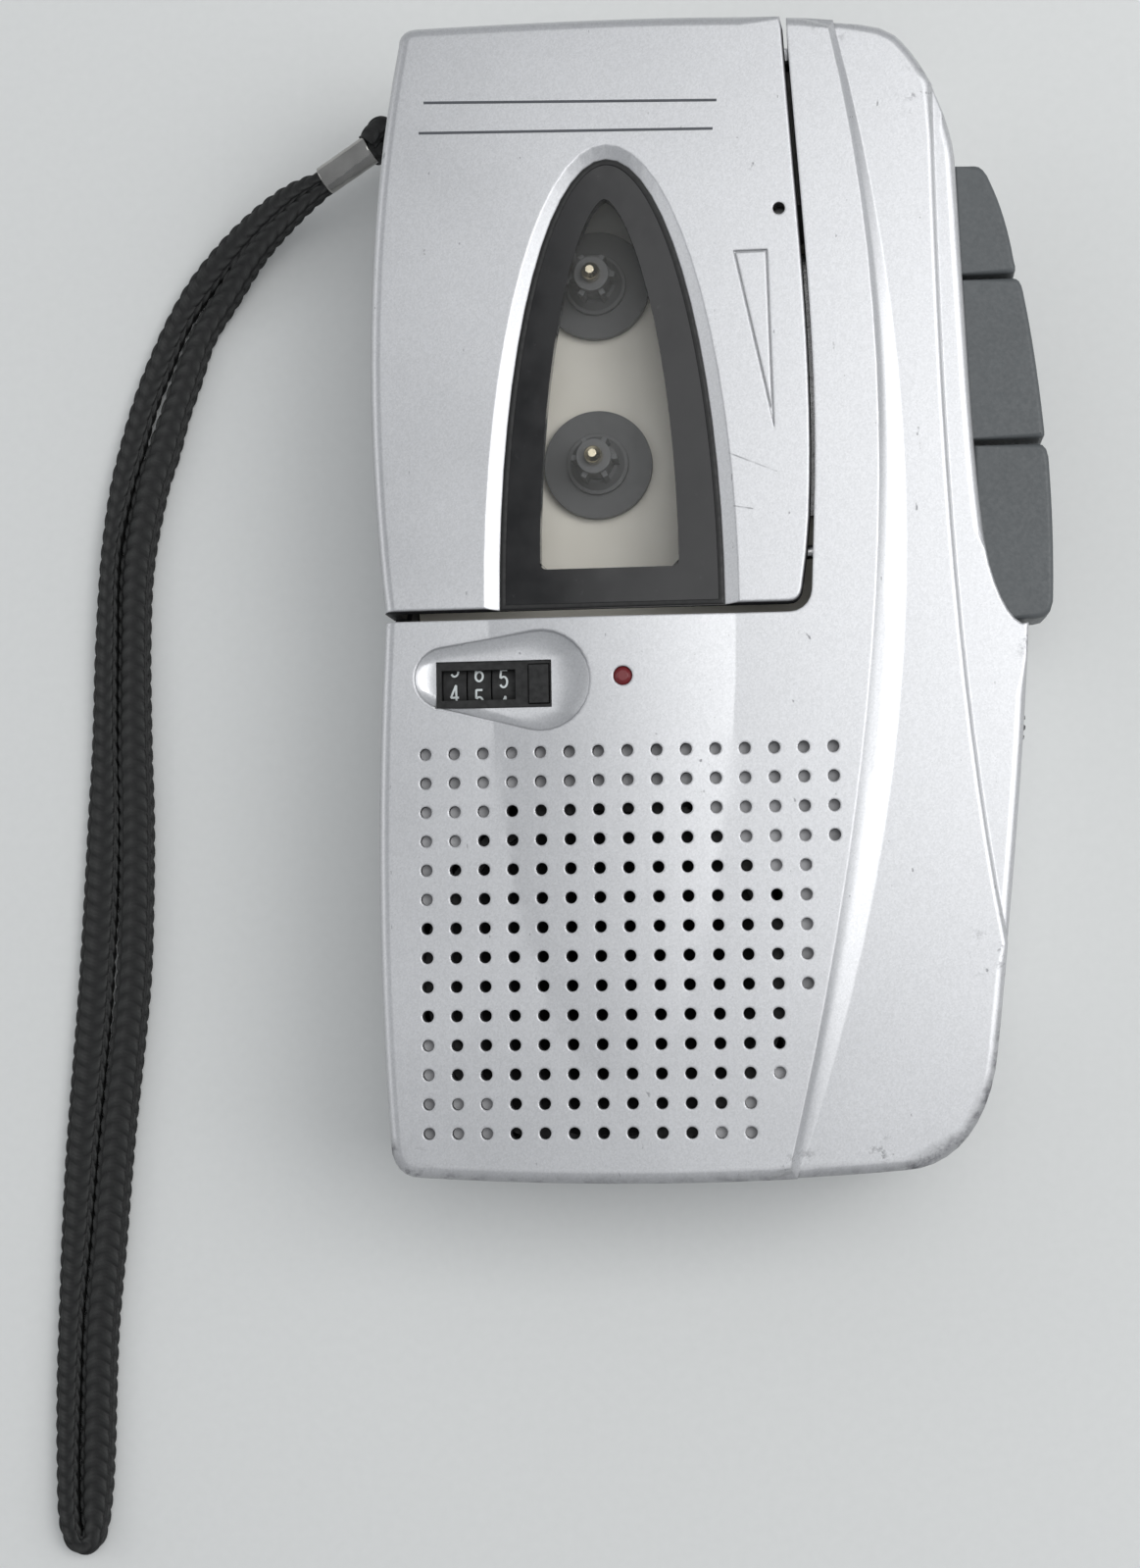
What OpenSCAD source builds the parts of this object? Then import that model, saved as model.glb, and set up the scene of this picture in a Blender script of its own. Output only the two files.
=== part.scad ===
// Handheld microcassette recorder with side keys, speaker grille, tape counter and wrist strap.
// Millimetres. It lies on its back: +Z is the front, +Y the top end, +X the side with the keys.

/* [Case] */
// Length of the case, top end to bottom end
body_l = 124.5; // [122:0.5:128]
// Width over the case and its side keys
body_w = 72.5; // [71:0.5:76]
// Thickness from the back to the raised front panel
body_t = 27; // [26.6:0.1:29]
// Thickness of the moulded case walls
wall = 1.8; // [1.6:0.1:2]
// Height of the seam between rear and front case
seam_z = 12.5; // [12:0.1:13]
// Drop from the raised panel to the right-hand panel
panel_step = 1.2; // [0.9:0.1:1.5]
// Drop from the right-hand panel to the band beside the keys
band_step = 1.2; // [0.9:0.1:1.5]
// Rounding of the front edges
edge_r = 1.2; // [0.8:0.1:1.6]
// Rounding of the back edges
back_r = 2.4; // [1.5:0.1:3]

// Height of the boat-shaped swell of the front below the door
swell_h = 0.5; // [0.3:0.05:0.7]
// Half width of the swell where it meets the door
swell_w = 13.2; // [12.5:0.1:13.6]
// Length of the swell down the front
swell_l = 50; // [46:0.5:54]

/* [Cassette door] */
// Gap below the door, which leaves room for its swing
door_gap = 1; // [0.8:0.1:1.2]
// Gap on the right of the door
side_gap = 0.4; // [0.3:0.05:0.8]
// Thickness of the door skin
door_t = 1.6; // [1.4:0.1:1.8]
// Half width of the arched opening for the window
arch_w = 12; // [11:0.1:12.5]
// Height of the arched opening
arch_h = 48.4; // [46:0.2:50]
// Half width of the clear window
window_w = 7.4; // [6.5:0.1:8]
// Height of the clear window
window_h = 39.8; // [37:0.2:41]
// Radius of the door hinge pins
hinge_r = 0.75; // [0.6:0.05:0.9]

/* [Speaker] */
// Distance between grille holes
grille_pitch = 3.08; // [3:0.02:3.12]
// Diameter of the grille holes
grille_d = 1.25; // [1:0.05:1.5]
// Radius of the speaker frame
speaker_r = 19.4; // [18.5:0.1:19.4]

/* [Transport] */
// Distance between the two reel spindles
reel_pitch = 20.1; // [19.5:0.1:21]
// Top face of the deck plate above the back
deck_z = 14.8; // [14.4:0.1:15.2]
// Thickness of the deck plate
deck_t = 1; // [0.8:0.1:1.2]
// Radius of the reel discs
reel_r = 6; // [5.5:0.1:6.2]
// Radius of the flywheel
flywheel_r = 12; // [11:0.1:12.4]
// Radius of the motor can
motor_r = 9.5; // [8.5:0.1:9.8]
// Play of a turning shaft in its bore
run_play = 0.05; // [0.03:0.01:0.08]
// Travel of the keys and of the head carriage
key_travel = 2.5; // [2:0.1:2.6]

/* [Power] */
// Radius of one AA cell
cell_r = 7.25; // [7:0.05:7.25]
// Length of one AA cell with its nub
cell_l = 50.5; // [49.5:0.1:51]
// Distance between the two cells
cell_pitch = 15.5; // [15:0.1:15.7]

/* [Strap] */
// Width of the flat braid
strap_w = 4.3; // [3.5:0.1:4.6]
// Thickness of the flat braid
strap_t = 1.8; // [1.4:0.1:2]

/* [Hidden] */
$fn = 48;
tiny = 0.01;
fit = 0.02;
clear = 0.3;

// Case limits: left, shoulder below the keys, top and bottom ends, and the three front levels.
xl = -body_w / 2;
xs = body_w / 2 - 3;
yt = body_l / 2;
yb = -body_l / 2;
zf = body_t;
zp = zf - panel_step;
zb = zp - band_step;
roof = zf - wall;

// Door: centre line of the gap below it, hinge axis and lower rim of its side skirt.
gap_y = -2;
hinge_y = 4.2;
hinge_z = zf - 3.4;
skirt_z = 17;
skirt_in = zf - door_t;
swing_r = 6.6;
point = 1.24;
arch = [-10.5, gap_y + door_gap / 2];

// Points of a cubic curve from a to d with handles b and c, for t from t0 up to, not including, t1.
function cubic(a, b, c, d, t) =
  a * pow(1 - t, 3) + 3 * b * t * pow(1 - t, 2) + 3 * c * t * t * (1 - t) + d * pow(t, 3);
function curve(p, n, t0 = 0, t1 = 1) =
  [for (i = [0:n - 1]) cubic(p[0], p[1], p[2], p[3], t0 + (t1 - t0) * i / n)];
function mix(a, b, t) = a + (b - a) * t;
function corner(a, k, b) = [a, mix(a, k, 0.62), mix(b, k, 0.62), b];
function unit(v) = v / norm(v);
function turned(v) = [v[1], -v[0]];
// Outward normal of a closed counter-clockwise outline at point i.
function outward(p, i) = let (n = len(p)) turned(unit(p[(i + 1) % n] - p[(i + n - 1) % n]));
function inset(p, d) = [for (i = [0:len(p) - 1]) p[i] - d * outward(p, i)];
function flat(p, z) = [for (q = p) [q[0], q[1], z]];

// Case outline, counter-clockwise from the top of the left side.
p_top_left = [xl + 3.35, yt - 2];
p_gap = [xl + 1.35, gap_y];
p_low_left = [xl + 1.4, yb + 4.2];
p_base_left = [xl + 4.6, yb + 0.75];
p_base_right = [xs - 14.1, yb + 1.3];
p_low_right = [xs - 4.3, yb + 13.7];
p_shoulder = [xs, -4];
p_notch = [xs - 3.9, 2.25];
p_key_top = [xs - 6.6, yt - 16.2];
p_bend = [xs - 12.7, yt - 3];
p_step = [xs - 19.2, yt - 1.3];
p_top = [xl + 5.35, yt];
left_door = [p_top_left, [xl - 0.78, 40], [xl - 0.78, 18], p_gap];
left_low = [p_gap, [xl + 0.08, -20], [xl + 0.08, -40], p_low_left];
base = [p_base_left, mix(p_base_left, p_base_right, 1 / 3) - [0, 1.2], mix(p_base_left, p_base_right, 2 / 3) - [0, 1.3],
  p_base_right];
low_right = corner(p_base_right, [xs - 5.6, yb + 1.7], p_low_right);
right_side = [p_low_right, [xs - 2.6, -34.5], [xs - 0.7, -17], p_shoulder];
shoulder = [p_shoulder, [xs - 1.4, -4.4], [xs - 2.9, -1.8], p_notch];
key_edge = [p_notch, [xs - 5.3, 8.5], [xs - 5.7, 25], p_key_top];
top_right = [p_key_top, [xs - 7, yt - 11.2], [xs - 10.2, yt - 5.2], p_bend];
top_step = [p_bend, [xs - 14, yt - 1.9], [xs - 16.2, yt - 1.6], p_step];
top = [p_step, [2, yt], [-15, yt + 0.1], p_top];
ridge_t = 0.78;
crest_t = 0.25;
bend_t = 0.5;
case_outline = concat(curve(left_door, 18), curve(left_low, 14), curve(corner(p_low_left, [xl + 1.55, yb + 0.7],
  p_base_left), 6), curve(base, 12, 0, ridge_t), curve(base, 4, ridge_t, 1), curve(low_right, 10),
  curve(right_side, 4, 0, crest_t), curve(right_side, 8, crest_t, 1), curve(shoulder, 6), curve(key_edge, 12),
  curve(top_right, 5, 0, bend_t), curve(top_right, 5, bend_t, 1), curve(top_step, 3), curve(top, 12),
  curve(corner(p_top, [xl + 3.3, yt], p_top_left), 5));
// The same outline with fewer points and without its two tight corners, from which the inside is inset.
plain_outline = concat(curve(left_door, 12), curve(left_low, 10), curve(corner(p_low_left, [xl + 1.55, yb + 0.7],
  p_base_left), 3), curve(base, 12), curve(low_right, 7), curve(right_side, 9, 0, 0.93), curve(key_edge, 9, 0.05, 1),
  curve(top_right, 7), curve(top_step, 2), curve(top, 10));
inner_outline = inset(plain_outline, wall);

// Ridge between the raised panel and the right-hand panel, and the crest beside the keys.
ridge_low = cubic(base[0], base[1], base[2], base[3], ridge_t);
crest_low = cubic(right_side[0], right_side[1], right_side[2], right_side[3], crest_t);
crest_top = cubic(top_right[0], top_right[1], top_right[2], top_right[3], bend_t);
ridge_out = concat(curve([ridge_low, [22.9, -20.4], [24.3, 18.6], p_step], 20), [p_step]);
ridge_in = concat(curve([ridge_low + [-0.7, edge_r], [16.8, -21.3], [22.3, 19.8], p_step + [-0.5, -edge_r]], 20),
  [p_step + [-0.5, -edge_r]]);

// Line of the gap on the right of the door, from the bottom gap up.
gap_line = concat(curve(corner([8.2, gap_y], [10, gap_y], [10.2, -0.1]), 5),
  curve([[10.2, -0.1], [12.4, 20], [10, 39.8], [8.9, yt - 2.2]], 16), [[8.9, yt - 2.2], [8.8, yt + 3]]);
// One side of that gap, t further out; the gap narrows from the bottom gap to the side gap round the corner.
function gap_half(y) = mix(door_gap, side_gap, min(1, max(0, (y + 0.5) / 6))) / 2;
function gap_side(s, t = 0) = let (n = len(gap_line) - 1) [for (i = [0:n])
  gap_line[i] + s * (gap_half(gap_line[i][1]) + t) * turned(unit(gap_line[min(i + 1, n)] - gap_line[max(i - 1, 0)]))];
well_outline = concat([[xl - 5, gap_y - door_gap / 2]], gap_side(1), [[xl - 5, yt + 3]]);
function well_wall(t) = concat([[xl - 5, gap_y - door_gap / 2 - t]], gap_side(1, t), [[xl - 5, yt + 3]]);

// Solid skinned through rings of equal length, the lowest ring first. A ladder ring is one whose second half runs back
// beside its first, so that each end is closed by short rungs.
module skin(rings, ladder = false) {
  n = len(rings[0]);
  m = len(rings);
  ends = ladder ? [for (i = [0:n / 2 - 2]) [i, i + 1, n - 2 - i, n - 1 - i]] : [[for (i = [0:n - 1]) i]];
  lids = [for (e = ends) [for (k = [len(e) - 1:-1:0]) (m - 1) * n + e[k]]];
  sides = [for (k = [0:m - 2], i = [0:n - 1], h = [0, 1])
    let (a = k * n + i, b = k * n + (i + 1) % n) h == 0 ? [a, a + n, b + n] : [a, b + n, b]];
  polyhedron([for (r = rings, q = r) q], concat(ends, lids, sides));
}
// Prism over an outline with its top edge rounded; r has one radius for each point.
module soft_prism(p, z0, z1, r, ladder = false) {
  top_r = max([for (k = r) is_list(k) ? 0 : k]);
  way = [for (i = [0:len(p) - 1]) is_list(r[i]) ? r[i] : -r[i] * outward(p, i)];
  rings = concat([flat(p, z0)], [for (a = [0:18:90]) [for (i = [0:len(p) - 1])
    let (q = p[i] + (1 - cos(a)) * way[i]) [q[0], q[1], z1 - top_r + top_r * sin(a)]]]);
  skin(rings, ladder);
}
function same(p, r) = [for (q = p) r];

// The case as one solid: three tiers on the front and a rounded back, all run past the seam and cut to it later.
seam_over = 2;
module raised_tier() {
  edge_a = concat(curve(left_door, 18), curve(left_low, 14), curve(corner(p_low_left, [xl + 1.55, yb + 0.7],
    p_base_left), 6), curve(base, 12, 0, ridge_t));
  edge_b = concat([for (q = curve(top, 12)) if (q != p_step) q], curve(corner(p_top, [xl + 3.3, yt], p_top_left), 5));
  outline = concat(edge_a, ridge_out, edge_b);
  na = len(edge_a);
  nr = len(ridge_out);
  function lifted(a) = [for (i = [0:len(outline) - 1])
    let (ridge = i >= na && i < na + nr,
      q = ridge ? mix(ridge_out[i - na], ridge_in[i - na], sqrt(sin(a)))
        : outline[i] - edge_r * (1 - cos(a)) * outward(outline, i))
    [q[0], q[1], zf - edge_r + edge_r * sin(a)]];
  skin(concat([flat(outline, seam_z - seam_over)], [for (a = [0:18:90]) lifted(a)]));
}
module right_tier() {
  edge_a = concat(curve(base, 4, ridge_t, 1), curve(low_right, 10), curve(right_side, 4, 0, crest_t));
  crest = curve([crest_low, [25.3, -8.7], [24.7, 21.8], crest_top], 16);
  edge_b = concat(curve(top_right, 5, bend_t, 1), curve(top_step, 3), [p_step]);
  outline = concat(edge_a, crest, edge_b, [p_step + [-2, -3], ridge_low + [-2, 3]]);
  radii = concat(same(edge_a, 1), same(crest, 0.65), same(edge_b, 1), [0, 0]);
  soft_prism(outline, seam_z - seam_over, zp, radii);
}
module band_tier() {
  edge = concat(curve(right_side, 8, crest_t, 1), curve(shoulder, 6), curve(key_edge, 12), curve(top_right, 5, 0, bend_t),
    [crest_top]);
  n = len(edge) - 1;
  inner = [for (i = [n:-1:0]) mix(crest_low + [-5, 1.5], crest_top + [-5, -2.5], i / n)];
  radii = [for (i = [0:n]) i < 7 ? 1 : i < 16 ? 0.3 : i < n - 2 ? 1 : 0.3];
  soft_prism(concat(edge, inner), seam_z - seam_over, zb, concat(radii, same(inner, 0)), true);
}
// Boat-shaped swell of the front: half ellipses, one over the other, that reach a little into the room of the door.
function swell_ring(s, z) = [for (a = [180:9:360])
  [arch[0] + s * swell_w * cos(a), gap_y - door_gap / 2 + 1 + s * swell_l * sin(a), z]];
module swell() {
  skin(concat([swell_ring(1.06, zf - 0.5)], [for (s = [1.06, 0.9, 0.72, 0.54, 0.36, 0.16])
    swell_ring(s, zf + swell_h * (1 - s * s))]));
}
module back_solid() {
  rings = concat([for (a = [90:-18:0]) [for (i = [0:len(case_outline) - 1])
    let (q = case_outline[i] - back_r * (1 - cos(a)) * outward(case_outline, i))
    [q[0], q[1], back_r - back_r * sin(a)]]], [flat(case_outline, seam_z + seam_over)]);
  skin(rings);
}

// Screw posts, one near each corner.
posts = [[xl + 5.4, yb + 5], [xs - 9.6, yb + 8], [xl + 11, yt - 4], [xs - 13.4, yt - 6]];
post_r = 2.6;
screw_r = 1;
screw_top = 16;

// Battery bay in the back.
bay_x = -11.75;
bay_w = cell_pitch + 2 * cell_r + 0.9;
contact_gap = 1.95;
bay_low = yb + 2.65;
bay_top = bay_low + cell_l + 2 * contact_gap;
cover_t = 1.6;
cell_z = cover_t + clear + cell_r;
rib = 1.2;

// Transport centres.
reel_x = -12.7;
takeup = [reel_x, 15.8];
supply = [reel_x, 15.8 + reel_pitch];
capstan = [0.8, 12.5];
motor_at = [xs - 19.75, yt - 26.25];
capstan_r = 0.8;
wheel_r = 7;
hub_r = 2.2;
idler_r = 4.5;
roller_r = 3;
wheel_low = 11.2;
wheel_high = 12.8;
belt_z = 4.25;
belt_t = 0.9;
// Centre of the idler, a hair clear of both the capstan hub and the take-up wheel.
idler_gap = 0.05;
reach_a = hub_r + idler_r + idler_gap;
reach_b = wheel_r + idler_r + idler_gap;
span = norm(takeup - capstan);
along = (reach_a * reach_a - reach_b * reach_b + span * span) / (2 * span);
idler = capstan + along * unit(takeup - capstan) + sqrt(reach_a * reach_a - along * along)
  * turned(unit(takeup - capstan));
carriage_z = deck_z + clear;
carriage_t = 0.8;
carriage_top = carriage_z + carriage_t;
carriage_tail = xs - 12.75;
roller_at = [capstan[0] + capstan_r + roller_r + idler_gap + key_travel, capstan[1]];
guides = [[carriage_tail - 5, 14], [carriage_tail - 5, 34]];

// Keys: heights, and the slot in the case wall that all three share.
key_low = 14.6;
key_high = zf - 6;
slot_top = key_high + clear;
slot_low = key_low - clear;
key_share = (yt - 13.05) / 49.2;
xk = body_w / 2;

// Counter: axis of the number wheels.
count_y = -9.35;
count_x = xl + 8.65;
count_pitch = 2.65;
count_r = 4.5;
count_z = zf - 1.7 - count_r;
mask = [[xl + 6.8, count_y - 2.5], [xl + 19.15, count_y + 2.5]];
button = [xl + 17.8, count_y];

// Speaker and grille: the first hole is at the top left.
grille_at = [xl + 5.7, -16.75];
grille_last = [14, 14, 14, 14, 13, 13, 13, 13, 13, 12, 12, 12, 11, 11];
open_from = [15, 15, 3, 2, 1, 1, 0, 0, 0, 0, 1, 1, 3, 3];
open_to = [0, 0, 9, 10, 11, 12, 12, 12, 12, 12, 12, 11, 10, 9];
speaker_at = grille_at + grille_pitch * [6.1, -7.6];
led_at = [xl + 26.9, -8.85];
mic_at = [7.95, 40.5];

mark = [[3.05, 36.15], [7.05, 17.05], [6.65, 36.15]];

// Board and controls.
board_z = 10.5;
board_t = 1.2;
volume_at = [xs - 7.15, -14];
volume_r = 7;
volume_z = board_z + board_t + 3.2;
jack_z = 7;
jack_r = 2.6;
// The controls along the top end keep their share of its width; the space between the plugs gives way most.
top_share = (xs - xl) / 69.5;
switch_half = 4.6 * top_share;
switch_at = [-15.8 * top_share, -5.5 * top_share];
plug_at = [xs - 21.25 - 8 * top_share * top_share, xs - 21.25];
dc_x = xs - 19.25;

// Strap: bar pocket in the left wall, then the route of the cord, the ferrule and the flat loop.
bar_at = [xl + 3.9, 54.6];
pocket_z = [5.4, 11.8];
ferrule_from = [-39.6, 54.5, 11];
ferrule_to = [-44.4, 51, 10];

module along_x(at, r, x0, x1) {
  translate([x0, at[0], at[1]]) rotate([0, 90, 0]) cylinder(r = r, h = x1 - x0);
}
module along_y(x, z, r, y0, y1) {
  translate([x, y0, z]) rotate([-90, 0, 0]) cylinder(r = r, h = y1 - y0);
}
module box(a, b) {
  translate(a) cube(b - a);
}
// Half ellipse standing on the line y = at[1] - drop, the form of the window arch; a power over 1 makes it pointed.
function half_ellipse(at, w, h, drop, power = 1) = concat([for (a = [0:6:180])
  at + [w * sign(cos(a)) * pow(abs(cos(a)), power), h * sin(a)]],
  [at + [-w, -drop], at + [w, -drop]]);
// Teardrop round two circles, the form of the counter recess.
function teardrop(g) = let (a = [xl + 7.85, -8.6], b = [xl + 18.05, -9.1], ra = 3.6 - g, rb = 5.6 - g, d = norm(b - a),
  t = atan2(b[1] - a[1], b[0] - a[0]), s = acos((ra - rb) / d))
  concat([for (i = [0:12]) let (q = t + s + (360 - 2 * s) * i / 12) a + ra * [cos(q), sin(q)]],
    [for (i = [0:16]) let (q = t - s + 2 * s * i / 16) b + rb * [cos(q), sin(q)]]);

module rear_housing() {
  color("silver") difference() {
    union() {
      difference() {
        back_solid();
        translate([0, 0, wall]) linear_extrude(2 * seam_z) polygon(inner_outline);
      }
      intersection() {
        union() {
          for (s = [-1, 1]) {
            translate([bay_x + s * (bay_w + rib) / 2 - rib / 2, bay_low - 1, wall - tiny])
              cube([rib, bay_top - bay_low + 1 + rib, seam_z]);
          }
          box([bay_x - bay_w / 2 - rib / 2, bay_top, wall - tiny], [bay_x + bay_w / 2 + rib / 2, bay_top + rib, seam_z + 1]);
          box([bay_x - bay_w / 2 - rib / 2, yb, wall - tiny], [bay_x + bay_w / 2 + rib / 2, bay_low, seam_z + 1]);
          box([xl, bar_at[1] - 5.5, wall - tiny], [bar_at[0] + 3, yt, seam_z + 1]);
          for (p = posts) translate([p[0], p[1], wall - tiny]) cylinder(r = post_r + 0.6, h = seam_z);
        }
        translate([0, 0, tiny]) linear_extrude(2 * seam_z) polygon(inset(plain_outline, 0.6));
      }
      translate([capstan[0], capstan[1], wall - tiny]) cylinder(r = hub_r, h = 1.2 + tiny);
      for (p = [[8.5, -49], [xs - 15.25, -49], [8.5, -12], [xs - 13.25, -11]])
        translate([p[0], p[1], wall - tiny]) cylinder(r = 1.6, h = board_z - wall + tiny);
    }
    box([xl - 5, yb - 5, seam_z], [xk + 5, yt + 5, 3 * seam_z]);
    // Battery opening, open to the bottom end below the end wall.
    box([bay_x - bay_w / 2, yb - 1, -1], [bay_x + bay_w / 2, bay_top, wall]);
    for (p = posts) {
      translate([p[0], p[1], -1]) cylinder(r = screw_r + 0.15, h = seam_z + 2);
      translate([p[0], p[1], -1]) cylinder(r = screw_r + 1.2, h = 3.4);
    }
    translate([capstan[0], capstan[1], wall + 0.2]) cylinder(r = capstan_r + run_play, h = 3);
    // Pocket for the strap cord, and the hole for its bar.
    box([xl - 2, bar_at[1] - 3.6, pocket_z[0]], [bar_at[0] + 1.8, bar_at[1] + 3.6, pocket_z[1]]);
    translate([bar_at[0], bar_at[1], pocket_z[0] - 2]) cylinder(r = 0.8 + fit, h = seam_z);
    for (x = plug_at) along_y(x, jack_z, jack_r + fit, yt - 5, yt + 2);
    along_y(dc_x, jack_z, jack_r + fit, yb - 2, yb + 4);
    for (x = switch_at) box([x - 3, yt - 4, jack_z - 1.1], [x + 3, yt + 2, jack_z + 1.1]);
  }
}

module front_housing() {
  color("silver") difference() {
    union() {
      difference() {
        union() {
          raised_tier();
          swell();
          right_tier();
          band_tier();
        }
        translate([0, 0, seam_z - 3]) linear_extrude(deck_z - seam_z + 3) polygon(inner_outline);
        // Room above deck level, on the key side and below the cassette well.
        translate([0, 0, deck_z - tiny]) linear_extrude(zb - wall - deck_z) difference() {
          polygon(inner_outline);
          polygon(well_wall(1.4));
        }
        translate([0, 0, deck_z - tiny]) linear_extrude(roof - deck_z + tiny) intersection() {
          polygon(inner_outline);
          polygon(concat([for (q = ridge_in) if (q[1] < gap_y - door_gap / 2 - 1.4) q - [3.5, 0]],
            [[10, gap_y - door_gap / 2 - 1.4], [xl - 5, gap_y - door_gap / 2 - 1.4], [xl - 5, yb - 5]]));
        }
        door_room();
        translate([0, 0, deck_z - tiny]) linear_extrude(zf) intersection() {
          polygon(inner_outline);
          polygon(well_outline);
        }
      }
      // Left hinge ear, ledge for the microphone, and the posts that take the screws.
      box([xl + 2.95, hinge_y - 2, deck_z], [xl + 4.85, hinge_y + 2, hinge_z]);
      box([xl + 1.8, hinge_y - 2, deck_z], [xl + 4.85, hinge_y + 2, skirt_z - clear]);
      along_x([hinge_y, hinge_z], 1.3, xl + 2.95, xl + 4.85);
      box([mic_at[0] - 2, mic_at[1] - 2, zf - 7.5], [mic_at[0] + 3.3, mic_at[1] + 2, zf - 6]);
      for (p = posts) translate([p[0], p[1], seam_z - 1]) cylinder(r = post_r, h = screw_top + 1.5 - seam_z);
    }
    box([xl - 5, yb - 5, 0], [xk + 5, yt + 5, seam_z]);
    for (p = posts) translate([p[0], p[1], seam_z - 2]) cylinder(r = screw_r + fit, h = screw_top - seam_z + 2);
    along_x([hinge_y, hinge_z], hinge_r + fit, xl + 2, xl + 6);
    along_x([hinge_y, hinge_z], hinge_r + fit, 9, 14);
    // Slot for the keys and the way through the well wall for the head carriage.
    box([xs - 14, -3.55, slot_low], [xk + 1, yt - 15.85, slot_top]);
    box([3, 8, deck_z - tiny], [16, 40, carriage_top + 1.3]);
    translate([volume_at[0], volume_at[1], volume_z - clear]) cylinder(r = volume_r + clear, h = 3 + 2 * clear);
    // Seat of the speaker, counter recess and window, indicator hole and grille.
    translate([speaker_at[0], speaker_at[1], roof - 1.5]) cylinder(r = speaker_r + fit, h = 1.5 - tiny);
    skin([for (k = [0:4]) flat(teardrop(1.6 * (1 - k / 4)), zf - 0.9 * cos(90 * k / 4) + (k == 4 ? 1 : 0))]);
    box([mask[0][0] - fit, mask[0][1] - fit, roof - 1], [mask[1][0] + fit, mask[1][1] + fit, zf]);
    translate([led_at[0], led_at[1], roof - 1]) cylinder(r = 1 + fit, h = wall + 2);
    for (j = [0:13], i = [0:14]) if (i <= grille_last[j]) {
      at = grille_at + grille_pitch * [i, -j];
      open = i >= open_from[j] && i <= open_to[j];
      translate([at[0], at[1], open ? roof - 1 : zf - 0.9]) cylinder(d = grille_d, h = 4, $fn = 16);
    }
  }
}
// Space the door fills and swings through, cut from the case walls.
module door_room() {
  intersection() {
    translate([0, 0, deck_z]) linear_extrude(zf) polygon(well_outline);
    union() {
      box([xl - 5, gap_y - door_gap, hinge_z], [40, yt + 5, zf + 1]);
      box([xl - 5, hinge_y, skirt_z - clear], [40, yt + 5, zf + 1]);
      along_x([hinge_y, hinge_z], swing_r + clear, xl - 5, 40);
    }
  }
}

module cassette_door() {
  edge_low = gap_y + door_gap / 2;
  side = concat(curve(corner(p_top, [xl + 3.3, yt], p_top_left), 5), [for (q = curve(left_door, 18)) if (q[1] > 0.5) q]);
  right = [for (q = gap_side(-1)) if (q[1] < yt - 2) q];
  top_edge = [for (q = curve(top, 12)) if (q[0] < 7) q];
  outline = concat(side, [[xl + 1.3, edge_low]], right, [[8.4, yt - 0.75]], top_edge);
  radii = concat(same(side, edge_r), [[edge_r, 0.3]], same(right, 0.3), [0.6], same(top_edge, edge_r));
  hollow = concat([[xl + 6, yt - 1.6], [xl + 4.9, yt - 2.1]], [for (q = side) if (q[1] < yt - 1.9) q + [1.5, 0]],
    [[xl + 2.8, -6], [20, -6], [20, yt - 2.3], [5, yt - 1.9], [-10, yt - 1.6]]);
  color("silver") difference() {
    union() {
      difference() {
        soft_prism(outline, skirt_z, zf, radii);
        translate([0, 0, skirt_z - 1]) linear_extrude(skirt_in - skirt_z + 1) polygon(hollow);
        // Skirt cut back to the swing of the hinge.
        difference() {
          box([xl - 5, -8, skirt_z - 1], [xl + 12, hinge_y, hinge_z]);
          along_x([hinge_y, hinge_z], swing_r, xl - 6, xl + 13);
        }
      }
      for (x = [xl + 5.15, 7.9]) {
        box([x, hinge_y - 1.4, hinge_z], [x + 2, hinge_y + 1.4, skirt_in + tiny]);
        along_x([hinge_y, hinge_z], 1.4, x, x + 2);
      }
    }
    for (x = [xl + 5, 7.5]) along_x([hinge_y, hinge_z], hinge_r + run_play, x, x + 3);
    translate([0, 0, skirt_in - 1]) linear_extrude(4) polygon(half_ellipse(arch, arch_w, arch_h, 3));
    skin([flat(half_ellipse(arch, arch_w, arch_h, 3), zf - 0.8),
      flat(half_ellipse(arch, arch_w + 1.55, arch_h + 1.4, 3), zf + tiny)]);
    translate([mic_at[0], mic_at[1], skirt_in - 1]) cylinder(r = 0.65, h = 4);
    translate([0, 0, zf - 0.25]) linear_extrude(1) difference() {
      polygon(mark);
      offset(delta = -0.2) polygon(mark);
    }
  }
}

module window_bezel() {
  color("black") difference() {
    union() {
      translate([0, 0, skirt_in]) linear_extrude(door_t - 0.8)
        polygon(half_ellipse(arch, arch_w - fit, arch_h - fit, 0));
      translate([0, 0, skirt_in - 0.8]) linear_extrude(0.8)
        polygon(half_ellipse(arch + [0, 0.2], arch_w + 1.5, arch_h + 1.5, 0));
    }
    translate([0, 0, skirt_in - 1]) linear_extrude(4)
      polygon(half_ellipse(arch + [-0.2, 4.3], window_w, window_h, 0, point));
  }
}
module window_lens() {
  color("lightgrey", 0.4) union() {
    translate([0, 0, skirt_in - 0.8]) linear_extrude(door_t - 0.15)
      polygon(half_ellipse(arch + [-0.2, 4.3 + fit], window_w - fit, window_h - 2 * fit, 0, point));
    translate([0, 0, skirt_in - 1.3]) linear_extrude(0.5)
      polygon(half_ellipse(arch + [-0.2, 3.3], window_w + 1, window_h + 2, 0));
  }
}
module hinge_pins() {
  color("silver") {
    along_x([hinge_y, hinge_z], hinge_r, xl + 2.95, xl + 7.1);
    along_x([hinge_y, hinge_z], hinge_r, 7.9, 12.4);
  }
}
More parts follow.
